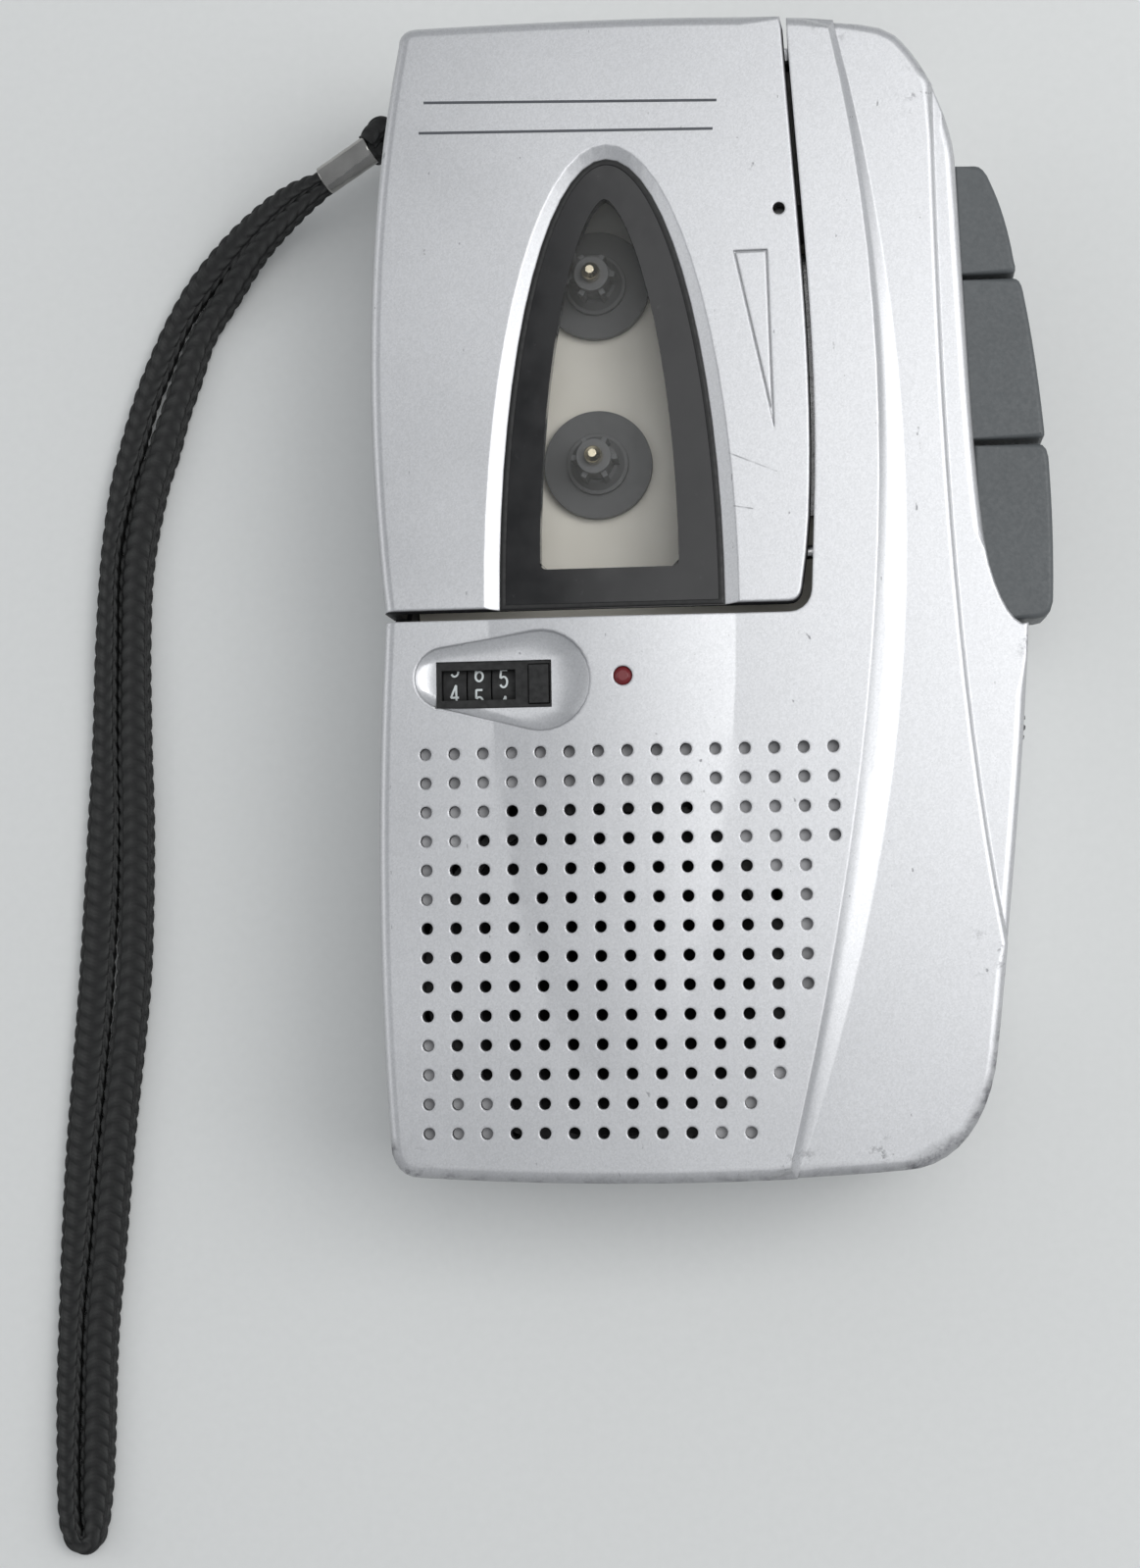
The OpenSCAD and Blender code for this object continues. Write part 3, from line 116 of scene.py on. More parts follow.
# Single scratches on the front, each from one point to another in millimetres.
scratches = [((-13.5, -4.9, 27.3), (-10.4, -4.3, 27.3)), ((20, -14.2, 26.4), (25.9, -11.2, 25.9)),
             ((1.5, 14.8, 27), (7.2, 12.4, 27)), ((2.4, 8.9, 27), (4.6, 8.5, 27)), ((28, -21, 25), (28.6, -19.6, 25))]

# Rubbed edges and painted shade: each a line in plan with the width of its mark and the mark's least and most depth.
# The two bottom-edge lines are mostly painted shade, as the edge mirrors the shadowed table; the rest is wear.
rubbed_and_shaded_edges = [((-31.5, -61.9), (-6, -62.5), 1.7, 0.5, 0.8), ((-6, -62.5), (18.8, -61.3), 1.7, 0.5, 0.8),
              ((-34.7, -58.6), (-33.2, -61), 1.4, 0.3, 1), ((-33.2, -61), (-28.5, -61.8), 1.6, 0.3, 1),
              ((18.8, -61.3), (25.6, -57.7), 1.5, 0.45, 1), ((25.6, -57.7), (28.4, -52), 1.2, 0.4, 1),
              ((28.4, -52), (29.5, -45), 0.9, 0.2, 0.9)]


def off_line(tree, where, start, end):
    """Distance of a point from the line between start and end, in metres: |p - start - t * way| with t held between
    0 and the line's length. Start and end are in millimetres."""
    start, end = Vector(start) / 1000, Vector(end) / 1000
    way = (end - start).normalized()
    from_start = shader_part(tree, "VectorMath", {0: where, 1: start}, operation="SUBTRACT").outputs[0]
    along = shader_part(tree, "VectorMath", {0: from_start, 1: way}, operation="DOT_PRODUCT").outputs["Value"]
    reached = maths(tree, "MINIMUM", maths(tree, "MAXIMUM", along, 0.0), (end - start).length)
    nearest = shader_part(tree, "VectorMath", {0: way, "Scale": reached}, operation="SCALE").outputs[0]
    return shader_part(tree, "VectorMath", {0: from_start, 1: nearest}, operation="DISTANCE").outputs["Value"]


def silver_paint(name):
    """Silver flake paint: random flakes in colour and tilt, faint clouds, hairline scratches, rubbed places and
    edges, painted shade along the bottom edge, and nicks along the other edges, which are where the rounded normal
    leaves the true one."""
    finish, tree, shader, where = bare_finish(name, (0.58, 0.585, 0.6), 0.36, 0.7)
    flake = shader_part(tree, "TexVoronoi", {"Vector": where, "Scale": 6500.0})
    flake_value = shader_part(tree, "RGBToBW", {"Color": flake.outputs["Color"]}).outputs[0]
    cloud = speckle(tree, where, 38, 4)
    tone = maths(tree, "MULTIPLY", between(tree, flake_value, 0.9, 1.07), between(tree, cloud, 0.95, 1.05, 0.3, 0.7))
    paint = blended(tree, between(tree, tone, 0, 1, 0.8, 1.2), (0.46, 0.465, 0.475, 1), (0.7, 0.705, 0.72, 1))
    round_off = shader_part(tree, "Bevel", {"Radius": 0.0003}, samples=6).outputs[0]
    true_normal = shader_part(tree, "NewGeometry").outputs["Normal"]
    bend = shader_part(tree, "VectorMath", {0: round_off, 1: true_normal}, operation="DOT_PRODUCT").outputs["Value"]
    edge = between(tree, bend, 1, 0, 0.8, 0.985)
    worn = None
    for x, y, z, reach in rubbed:
        away = shader_part(tree, "VectorMath", {0: where, 1: (x / 1000, y / 1000, z / 1000)}, operation="DISTANCE")
        near = between(tree, away.outputs["Value"], 1, 0, 0.15 * reach / 1000, reach / 1000)
        worn = near if worn is None else maths(tree, "MAXIMUM", worn, near)
    patch = speckle(tree, where, 620, 6, 0.72)
    mark = maths(tree, "MULTIPLY", worn, between(tree, patch, 0, 1, 0.56, 0.7))
    nick = between(tree, speckle(tree, where, 380, 5, 0.7), 0, 0.8, 0.6, 0.72)
    mark = maths(tree, "MAXIMUM", mark, maths(tree, "MULTIPLY", edge, nick))
    for turn, pull, rare in ((0.5, (900, 26, 900), 0.69), (-0.9, (760, 34, 760), 0.71)):
        lie = shader_part(tree, "Mapping", {"Vector": where, "Rotation": (0, 0, turn), "Scale": pull})
        line = shader_part(tree, "TexVoronoi", {"Vector": lie.outputs[0], "Scale": 0.22}, feature="DISTANCE_TO_EDGE")
        hair = between(tree, line.outputs["Distance"], 0.55, 0, 0.004, 0.014)
        seldom = between(tree, speckle(tree, where, 60 + 25 * pull[1], 2), 0, 1, rare, rare + 0.03)
        mark = maths(tree, "MAXIMUM", mark, maths(tree, "MULTIPLY", hair, seldom))
    ragged = between(tree, speckle(tree, where, 900, 3), 0.2, 1, 0.35, 0.6)
    for start, end in scratches:
        cut = between(tree, off_line(tree, where, start, end), 0.5, 0, 0.00003, 0.00011)
        mark = maths(tree, "MAXIMUM", mark, maths(tree, "MULTIPLY", cut, ragged))
    plan = shader_part(tree, "VectorMath", {0: where, 1: (1, 1, 0)}, operation="MULTIPLY").outputs[0]
    # Along the bottom edge this mark is painted shade; at the corners and up the right side, rubbed paint.
    for start, end, wide, least, most in rubbed_and_shaded_edges:
        near = between(tree, off_line(tree, plan, (*start, 0), (*end, 0)), 1, 0, 0.0001 * wide, 0.001 * wide)
        rub_and_shade = between(tree, patch, least, most, 0.46, 0.62)
        mark = maths(tree, "MAXIMUM", mark, maths(tree, "MULTIPLY", near, rub_and_shade))
    colour = blended(tree, mark, paint, (0.13, 0.13, 0.14, 1))
    tree.links.new(colour, shader.inputs["Base Color"])
    gloss = maths(tree, "ADD", between(tree, cloud, 0.33, 0.4, 0.3, 0.7), maths(tree, "MULTIPLY", mark, 0.25))
    tree.links.new(gloss, shader.inputs["Roughness"])
    tree.links.new(between(tree, mark, 0.7, 0.05), shader.inputs["Metallic"])
    relief = maths(tree, "SUBTRACT", maths(tree, "MULTIPLY", flake_value, 0.25), mark)
    bump = shader_part(tree, "Bump", {"Height": relief, "Strength": 0.22, "Distance": 0.00003, "Normal": round_off})
    tree.links.new(bump.outputs[0], shader.inputs["Normal"])
    return finish


def shared_edges(faces, count):
    """Half edges, numbered three to a triangle, that lie on each other in pairs, and the key of each pair."""
    ends = np.sort(np.stack([faces, np.roll(faces, -1, 1)], -1).reshape(-1, 2), 1)
    keys = ends[:, 0] * count + ends[:, 1]
    order = np.argsort(keys, kind="stable")
    pair = np.flatnonzero(keys[order][1:] == keys[order][:-1])
    return order[pair], order[pair + 1], keys[order][pair]


def filled_again(points, faces, facing, size):
    """The same panel with new triangles between its border edges; where these cross, a point is added. A triangle
    stays where the border's winding number at its centre, sum of sign(rise) over the edges to the right, is above 0.
    The old triangles stay if the new ones don't fill the panel's area."""
    half = {}
    for a, b in np.stack([faces, np.roll(faces, -1, 1)], -1).reshape(-1, 2).tolist():
        if half.get((b, a)):
            half[(b, a)] -= 1
        else:
            half[(a, b)] = half.get((a, b), 0) + 1
    border = [ends for ends, times in half.items() if times]
    used = sorted({v for ends in border for v in ends})
    place = {v: k for k, v in enumerate(used)}
    across = np.cross(facing, (1, 0, 0) if abs(facing[0]) < 0.7 else (0, 1, 0))
    across /= np.linalg.norm(across)
    upward = np.cross(facing, across)
    flat = np.stack([points[used] @ across, points[used] @ upward], 1) * 1000
    ends = np.array([(place[a], place[b]) for a, b in border])
    spots, _, fill, origin, _, _ = delaunay_2d_cdt([Vector(f) for f in flat], ends.tolist(), [], 1, 1e-6)
    fill, spots = np.array(fill, np.int64).reshape(-1, 3), np.array(spots)
    start, rise = flat[ends[:, 0]], flat[ends[:, 1]] - flat[ends[:, 0]]
    winding = []
    for x, y in spots[fill].mean(1):
        crossed = (start[:, 1] > y) != (start[:, 1] + rise[:, 1] > y)
        at = start[crossed, 0] + (y - start[crossed, 1]) / rise[crossed, 1] * rise[crossed, 0]
        winding.append(np.sign(rise[crossed, 1])[at > x].sum())
    fill = fill[np.array(winding) > 0.5]
    added = [k for k, own in enumerate(origin) if not own]
    number = {k: used[own[0]] for k, own in enumerate(origin) if own}
    number.update({k: len(points) + n for n, k in enumerate(added)})
    level = (points[used] @ facing).mean()
    more = np.array([spots[k][0] / 1000 * across + spots[k][1] / 1000 * upward + level * facing for k in added])
    wider = np.concatenate([points, more.reshape(-1, 3)])
    fill = np.array([[number[v] for v in face] for face in fill.tolist()], np.int64).reshape(-1, 3)
    cross = np.cross(wider[fill[:, 1]] - wider[fill[:, 0]], wider[fill[:, 2]] - wider[fill[:, 0]]) @ facing
    area_slack = 0.005 * size
    return (wider, fill) if abs(cross.sum() / 2 - size) < area_slack else (points, faces)


def clean_mesh(name):
    """Points, triangles, normals, areas and panels of a CAD solid. Equal corner points are merged. Triangles in one
    plane form a panel, and a triangle under 6 um high joins the one across its longest edge. A panel with such
    slivers or folds in it is filled again inside its border, by constrained Delaunay triangulation in its plane."""
    source = solid[name].data
    points = np.empty(len(source.vertices) * 3, np.float32)
    source.vertices.foreach_get("co", points)
    corners = np.empty(len(source.loops), np.int32)
    source.loops.foreach_get("vertex_index", corners)
    spots, index = np.unique(np.round(points.reshape(-1, 3).astype(np.float64) * 1e6), axis=0, return_inverse=True)
    points = spots / 1e6
    faces = index.ravel()[corners].reshape(-1, 3).astype(np.int64)
    faces = faces[(faces != np.roll(faces, 1, 1)).all(1)]
    sides = points[np.roll(faces, -1, 1)] - points[faces]
    lengths = np.linalg.norm(sides, axis=2)
    cross = np.cross(sides[:, 0], sides[:, 1])
    area = np.linalg.norm(cross, axis=1)
    sliver_height, same_plane = 6e-6, 0.999976
    thin = area < sliver_height * lengths.max(1)
    normals = cross / np.maximum(area, 1e-16)[:, None]
    one, two, _ = shared_edges(faces, len(points))
    bend = np.abs((normals[one // 3] * normals[two // 3]).sum(1))
    link = (bend > same_plane) & ~thin[one // 3] & ~thin[two // 3]
    longest = np.arange(len(faces)) * 3 + lengths.argmax(1)
    link |= (thin[one // 3] & (longest[one // 3] == one)) | (thin[two // 3] & (longest[two // 3] == two))
    a, b = one[link] // 3, two[link] // 3
    panel = np.arange(len(faces))
    while True:
        least = panel.copy()
        np.minimum.at(least, a, panel[b])
        np.minimum.at(least, b, panel[a])
        least = least[least]
        if (least == panel).all():
            break
        panel = least
    kept, groups = [], []
    for number in np.unique(panel):
        part = np.flatnonzero(panel == number)
        filled = faces[part]
        facing = cross[part].sum(0)
        size = np.linalg.norm(facing)
        if size and (thin[part].any() or (cross[part] @ facing < 0).any()):
            points, filled = filled_again(points, filled, facing / size, size / 2)
        kept.append(filled)
        groups.append(np.full(len(filled), number))
    faces, panel = np.concatenate(kept), np.concatenate(groups)
    cross = np.cross(points[faces[:, 1]] - points[faces[:, 0]], points[faces[:, 2]] - points[faces[:, 0]])
    area = np.linalg.norm(cross, axis=1)
    return points, faces, cross / np.maximum(area, 1e-16)[:, None], area / 2, panel


def moulded(name, body, *finishes, choose=None, sharp=32.0):
    """The CAD solid again, as one closed skin. Faces that meet under the sharp angle are shaded as one surface, but a
    panel of over 40 mm2 stays flat up to its border. Each face takes the finish that choose(centres, normals) counts
    out for it, such as the black bare inside of a painted shell, which also serves as painted shade."""
    points, faces, normals, area, panel = clean_mesh(name)
    mesh = bpy.data.meshes.new(name + "_skin")
    mesh.from_pydata(points, [], faces.tolist())
    for finish in finishes:
        mesh.materials.append(finish)
    if choose is not None:
        mesh.polygons.foreach_set("material_index", choose(points[faces].mean(1), normals).astype(np.int32))
    one, two, shared = shared_edges(faces, len(points))
    one, two = one // 3, two // 3
    turn = np.degrees(np.arccos(np.clip((normals[one] * normals[two]).sum(1), -1, 1)))
    wide_area, least_turn = 40e-6, 4
    wide = np.bincount(panel, area)[panel] > wide_area
    border = (wide[one] | wide[two]) & (panel[one] != panel[two]) & (turn > least_turn)
    crisp = shared[(turn > sharp) | border]
    mesh.shade_smooth()
    rims = np.empty(len(mesh.edges) * 2, np.int32)
    mesh.edges.foreach_get("vertices", rims)
    rims = np.sort(rims.reshape(-1, 2).astype(np.int64), 1)
    marks = mesh.attributes.new("sharp_edge", "BOOLEAN", "EDGE")
    marks.data.foreach_set("value", np.isin(rims[:, 0] * len(points) + rims[:, 1], crisp))
    piece = bpy.data.objects.new(name + "_skin", mesh)
    bpy.context.scene.collection.objects.link(piece)
    even = piece.modifiers.new("even_normals", "WEIGHTED_NORMAL")
    even.keep_sharp = True
    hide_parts(name)
    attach(piece, body)


case_paint = silver_paint("silver_paint")
# Black bare plastic for the inside of the case, which also serves as painted shade inside it and round the door.
bare_plastic_and_shade = tough_plastic("bare_abs_and_painted_shade", (0.03, 0.03, 0.032), 0.55)
outer = np.empty(len(solid["rear_housing"].data.vertices) * 3, np.float32)
solid["rear_housing"].data.vertices.foreach_get("co", outer)
outer = outer.reshape(-1, 3)[:, :2]
bearing = np.radians(np.arange(0, 360, 3))
outward = np.stack([np.cos(bearing), np.sin(bearing)])
reach = (outer @ outward).max(0)


def inside_case_and_shaded_rim(centres, normals):
    """True for faces that look into the case: those that lie over 1.6 mm inside its outline, below the front or round
    the door's opening. The distance is to the nearest of the outline's tangent lines, r(a) = max(p . (cos a, sin a)).
    The hollow behind the keys, where the outline draws in, still counts as outside. These faces take black bare
    plastic: round the door's opening it is painted shade on walls that are silver on the real case, and deeper in it
    is the bare inside, whose black also stands for the shade there."""
    wall, back_face, front_inside, door_front = 0.0016, 0.0006, 0.0243, 0.0268
    door_right, door_foot, key_wall = 0.0135, -0.0035, 0.024
    x, y, z = centres.T
    deep = (reach - centres[:, :2] @ outward).min(1) > wall
    # Walls round the door's opening: silver on the real case, black here as painted shade.
    rim = (np.abs(normals[:, 2]) < 0.5) & (x < door_right) & (y > door_foot) & (z < door_front)
    hollow = (normals[:, 0] > 0.3) & (x > key_wall)
    return deep & ~hollow & (z > back_face) & ((z < front_inside) | rim)


moulded("rear_housing", "case", case_paint, bare_plastic_and_shade, choose=inside_case_and_shaded_rim)


# Cells and their contacts: two plain AA cells side by side in the back, head to tail, between nickel-plated
# leaf contacts that are pushed into the bay's end walls.
def worked_metal(name, colour, roughness, pull=(1, 1, 1), depth=1.0):
    """Bare metal: fine lines drawn out along one direction by the tool, and dull patches."""
    finish, tree, shader, where = bare_finish(name, colour, roughness, 1.0)
    drawn = shader_part(tree, "Mapping", {"Vector": where, "Scale": pull}).outputs[0]
    lines = speckle(tree, drawn, 2600, 3)
    dull = speckle(tree, where, 240, 4)
    dark = tuple(0.72 * c for c in colour)
    tree.links.new(blended(tree, between(tree, dull, 0, 1, 0.35, 0.75), (*colour, 1), (*dark, 1)),
                   shader.inputs["Base Color"])
    tree.links.new(between(tree, lines, 0.7 * roughness, 1.5 * roughness), shader.inputs["Roughness"])
    soft = shader_part(tree, "Bevel", {"Radius": 0.0001}, samples=4).outputs[0]
    bump = shader_part(tree, "Bump", {"Height": lines, "Strength": 0.15 * depth, "Distance": 0.00002, "Normal": soft})
    tree.links.new(bump.outputs[0], shader.inputs["Normal"])
    return finish


nickel = worked_metal("nickel_plate", (0.66, 0.64, 0.6), 0.28)
moulded("cells", "case", tough_plastic("cell_sleeve", (0.09, 0.1, 0.12), 0.3, 0.1))
moulded("cell_contacts", "case", nickel)

# Deck plate: cream styrene sheet under the cassette, grey above a line across the upper end of the well. It stands on
# the housing walls and carries every shaft of the transport.
cream, tree, shader, where = bare_finish("deck_styrene", (0.88, 0.84, 0.74), 0.42)
height = shader_part(tree, "SeparateXYZ", {"Vector": where}).outputs["Y"]
painted = between(tree, height, 0, 1, 0.0405, 0.0407)
stain = speckle(tree, where, 110, 5, 0.6)
plain = blended(tree, between(tree, stain, 0, 1, 0.3, 0.75), (0.92, 0.885, 0.79, 1), (0.8, 0.76, 0.66, 1))
tree.links.new(blended(tree, painted, plain, (0.6, 0.6, 0.57, 1)), shader.inputs["Base Color"])
grit = speckle(tree, where, 1800, 3)
tree.links.new(between(tree, grit, 0.34, 0.52, 0.3, 0.7), shader.inputs["Roughness"])
tree.links.new(shader_part(tree, "Bump", {"Height": grit, "Strength": 0.15, "Distance": 0.00004}).outputs[0],
               shader.inputs["Normal"])
moulded("deck_plate", "case", cream)

# Reels: two splined drive hubs of dark grey acetal on steel shafts, whose bright turned tips stand above the
# hubs. The take-up shaft also carries a white nylon drive wheel under the deck.
hub_grey = tough_plastic("reel_acetal", (0.095, 0.097, 0.1), 0.55, 0.1, 1500)
spindle_steel = worked_metal("spindle_steel", (0.78, 0.7, 0.52), 0.2)
moulded("supply_reel", "supply", hub_grey)
moulded("takeup_reel", "takeup", hub_grey)
moulded("supply_shaft", "supply", spindle_steel)
moulded("takeup_shaft", "takeup", spindle_steel)
moulded("takeup_wheel", "takeup", tough_plastic("white_nylon", (0.74, 0.73, 0.69), 0.45, 0.04))

# Capstan: a ground steel shaft pressed into a brass flywheel, turning in a bronze bearing in the deck; a square
# rubber belt joins the flywheel to the motor pulley, and a rubber idler passes its drive to the take-up wheel.
steel = worked_metal("ground_steel", (0.62, 0.62, 0.62), 0.24)
brass = worked_metal("turned_brass", (0.72, 0.53, 0.24), 0.28)
rubber = tough_plastic("black_rubber", (0.022, 0.022, 0.023), 0.72, 0.2, 900, 0.3)
moulded("capstan_shaft", "capstan", steel)
moulded("flywheel", "capstan", brass)
moulded("capstan_bearing", "case", worked_metal("sintered_bronze", (0.5, 0.33, 0.18), 0.5))
moulded("idler_wheel", "idler", rubber)
moulded("idler_shaft", "case", steel)
moulded("motor", "case", worked_metal("zinc_can", (0.58, 0.59, 0.6), 0.36))
moulded("motor_pulley", "rotor", brass)
moulded("drive_belt", "case", rubber)

# Head carriage: a pressed steel plate that the middle key slides toward the tape on two headed pins. It carries
# the record head, the erase head and the pinch roller on its shaft.
moulded("head_carriage", "carriage", steel)
moulded("carriage_guides", "case", steel)
moulded("record_head", "carriage", worked_metal("head_shield", (0.74, 0.73, 0.7), 0.16))
moulded("erase_head", "carriage", tough_plastic("head_resin", (0.06, 0.06, 0.065), 0.4))
moulded("pinch_shaft", "carriage", steel)
moulded("pinch_roller", "roller", rubber)

# Circuit board and controls: a green laminate board on four posts with chips and capacitors, the volume control
# with its knurled thumb wheel, the slide switches and the jacks in the end walls.
moulded("circuit_board", "case", tough_plastic("green_laminate", (0.03, 0.13, 0.06), 0.4, 0.2, 1200))
moulded("board_parts", "case", tough_plastic("chip_resin", (0.03, 0.03, 0.032), 0.5))
moulded("volume_pot", "case", nickel)
black_plastic = tough_plastic("black_plastic", (0.025, 0.025, 0.027), 0.45, 0.15, 1600)
moulded("volume_wheel", "volume", black_plastic)
moulded("switch_bodies", "case", nickel)
moulded("speed_switch", "speed", black_plastic)
moulded("vox_switch", "vox", black_plastic)
for jack in ("ear_jack", "mic_jack", "dc_jack"):
    moulded(jack, "case", black_plastic)
moulded("mic_capsule", "case", worked_metal("capsule_can", (0.6, 0.6, 0.6), 0.3))

# Speaker: a pressed basket, painted black, that sits under the grille. A black paper cone is glued into its rim and
# a ferrite magnet to its back.
moulded("speaker_frame", "case", tough_plastic("black_basket", (0.012, 0.012, 0.012), 0.6))
moulded("speaker_cone", "case", tough_plastic("cone_paper", (0.012, 0.012, 0.012), 0.85, 0.25, 700, 0.5))
moulded("speaker_magnet", "case", tough_plastic("ferrite", (0.05, 0.05, 0.052), 0.6))

# Tape counter: three black number drums on a steel axle in a black frame that clips under the front panel, and a
# push button beside them that sets them back. The digits are white print, bent round each drum.
white_print = tough_plastic("white_print", (0.6, 0.64, 0.64), 0.5, 0.04)
drum_radius = 0.0045
drum_axis = (-0.00935, 0.0208)


def arc(cx, cy, rx, ry, start, end, steps=17):
    """Points of an ellipse's arc from start to end degrees."""
    turn = np.radians(np.linspace(start, end, steps))
    return np.stack([cx + rx * np.cos(turn), cy + ry * np.sin(turn)], 1)


def bar(*ends):
    """Straight runs through the given points, with points between them so that they can be bent."""
    return np.concatenate([np.linspace(a, b, 9) for a, b in zip(ends[:-1], ends[1:])])


# The lines of each digit, in a box that reaches from -0.5 to 0.5 across and from -1 to 1 upward.
strokes = {
    0: [arc(0, 0, 0.5, 1, 0, 360, 33)],
    1: [bar((-0.25, 0.7), (0.05, 1), (0.05, -1))],
    2: [np.concatenate([arc(0, 0.5, 0.5, 0.5, 170, -30), bar((0.4, 0.2), (-0.5, -1), (0.52, -1))])],
    3: [arc(-0.05, 0.5, 0.48, 0.5, 150, -90), arc(-0.05, -0.5, 0.55, 0.5, 90, -150)],
    4: [bar((0.2, -1), (0.2, 1), (-0.55, -0.4), (0.55, -0.4))],
    5: [np.concatenate([bar((0.45, 1), (-0.4, 1), (-0.45, 0.1)), arc(-0.02, -0.4, 0.5, 0.6, 130, -150)])],
    6: [np.concatenate([arc(0.05, -0.3, 0.55, 1.3, 70, 180), arc(0, -0.45, 0.5, 0.55, 180, 540, 33)])],
    7: [bar((-0.5, 1), (0.5, 1), (-0.1, -1))],
    8: [arc(0, 0.5, 0.42, 0.5, 0, 360, 29), arc(0, -0.5, 0.52, 0.5, 0, 360, 29)],
    9: [np.concatenate([arc(-0.05, 0.3, 0.55, 1.3, 250, 360), arc(0, 0.45, 0.5, 0.55, 0, 360, 33)])],
}


def new_piece(name, body, points, faces, finish, smooth=False):
    """A piece of its own at the origin, from points in metres and faces that look outward."""
    mesh = bpy.data.meshes.new(name)
    mesh.from_pydata(points, [], faces)
    if smooth:
        mesh.shade_smooth()
    mesh.materials.append(finish)
    piece = bpy.data.objects.new(name, mesh)
    bpy.context.scene.collection.objects.link(piece)
    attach(piece, body)
    return piece


def printed_digits(name, body, middle, upright):
    """Ten digits on a drum. Each stroke is a ribbon of constant width along its line; a point (u, v) of it goes to
    x = middle + u, and to angle a + v / r from the top of the drum at radius r."""
    half, size, lift = 0.00011, (0.00078, 0.00095), drum_radius + 0.00003
    points, faces = [], []
    for digit, lines in strokes.items():
        angle = math.radians(36 * ((digit - upright + 5) % 10 - 5))
        for line in lines:
            flat = line * size
            along = np.gradient(flat, axis=0)
            along /= np.linalg.norm(along, axis=1)[:, None] + 1e-12
            side = np.stack([-along[:, 1], along[:, 0]], 1) * half
            both = np.stack([flat + side, flat - side], 1)
            turn = angle + both[..., 1] / lift
            placed = np.stack([middle + both[..., 0], drum_axis[0] + lift * np.sin(turn),
                               drum_axis[1] + lift * np.cos(turn)], -1)
            start = sum(len(p) for p in points)
            row = np.arange(len(line) - 1) * 2 + start
            faces.append(np.stack([row, row + 1, row + 3, row + 2], 1))
            points.append(placed.reshape(-1, 3))
    new_piece(name, body, np.concatenate(points), np.concatenate(faces).tolist(), white_print)


counter_black = tough_plastic("counter_black", (0.012, 0.012, 0.012), 0.7, 0.2, 1600)
moulded("counter_frame", "case", counter_black)
moulded("counter_axle", "case", steel)
for drum, body, middle, upright in (("hundreds_wheel", "count_hundreds", -0.0276, 4.3),
                                    ("tens_wheel", "count_tens", -0.02495, 5.5),
                                    ("units_wheel", "count_units", -0.0223, 4.75)):
    moulded(drum, body, counter_black)
    printed_digits(drum.replace("wheel", "digits"), body, middle, upright)
moulded("reset_button", "reset", counter_black)

# Front housing: the painted moulding with the raised left panel, the long bevel, the key band and the speaker
# grille. Its edges are rounded by the tool and rubbed bare in places.
# Painted shade for the grille's holes: near black on their walls, mid grey on the floors of the blind ones.
hole_wall_shade = tough_plastic("painted_hole_wall_shade", (0.06, 0.06, 0.063), 0.6, 0.2)
hole_floor_shade = tough_plastic("painted_hole_floor_shade", (0.4, 0.4, 0.41), 0.6, 0.35, 3000, 0.4)


def panel_holes(centres, normals):
    """2 for the walls and 3 for the floors of the grille's holes, which carry painted shade, darker on the walls than
    on the floors: the faces within 0.75 mm of the points of a square grid and below the front. Elsewhere as inside
    the case."""
    last_column = np.array((14, 14, 14, 14, 13, 13, 13, 13, 13, 12, 12, 12, 11, 11))
    first_hole, pitch, near_hole = (-0.03055, -0.01675), 0.00308, 0.00075
    step = (centres[:, :2] - first_hole) / (pitch, -pitch)
    column, row = np.round(step).astype(int).T
    near = np.linalg.norm(step - np.round(step), axis=1) < near_hole / pitch
    rows = len(last_column)
    grid = (column >= 0) & (row >= 0) & (row < rows) & (column <= last_column[np.clip(row, 0, rows - 1)])
    panel_back, hole_floor, upright = 0.0249, 0.0266, np.abs(normals[:, 2]) < 0.5
    low = (centres[:, 2] > panel_back) & ((centres[:, 2] < hole_floor) | upright)
    return np.where(near & grid & low, np.where(normals[:, 2] < 0.5, 2, 3), inside_case_and_shaded_rim(centres, normals))


moulded("front_housing", "case", case_paint, bare_plastic_and_shade, hole_wall_shade, hole_floor_shade, choose=panel_holes)


def ring_faces(count, around, closed=False):
    """Quads between rings of points, each ring joined to the next one and, where closed, the last to the first."""
    ring, step = np.meshgrid(np.arange(count if closed else count - 1), np.arange(around), indexing="ij")
    on, after = (ring + 1) % count, (step + 1) % around
    corners = (ring * around + step, on * around + step, on * around + after, ring * around + after)
    return np.stack(corners, -1).reshape(-1, 4).tolist()


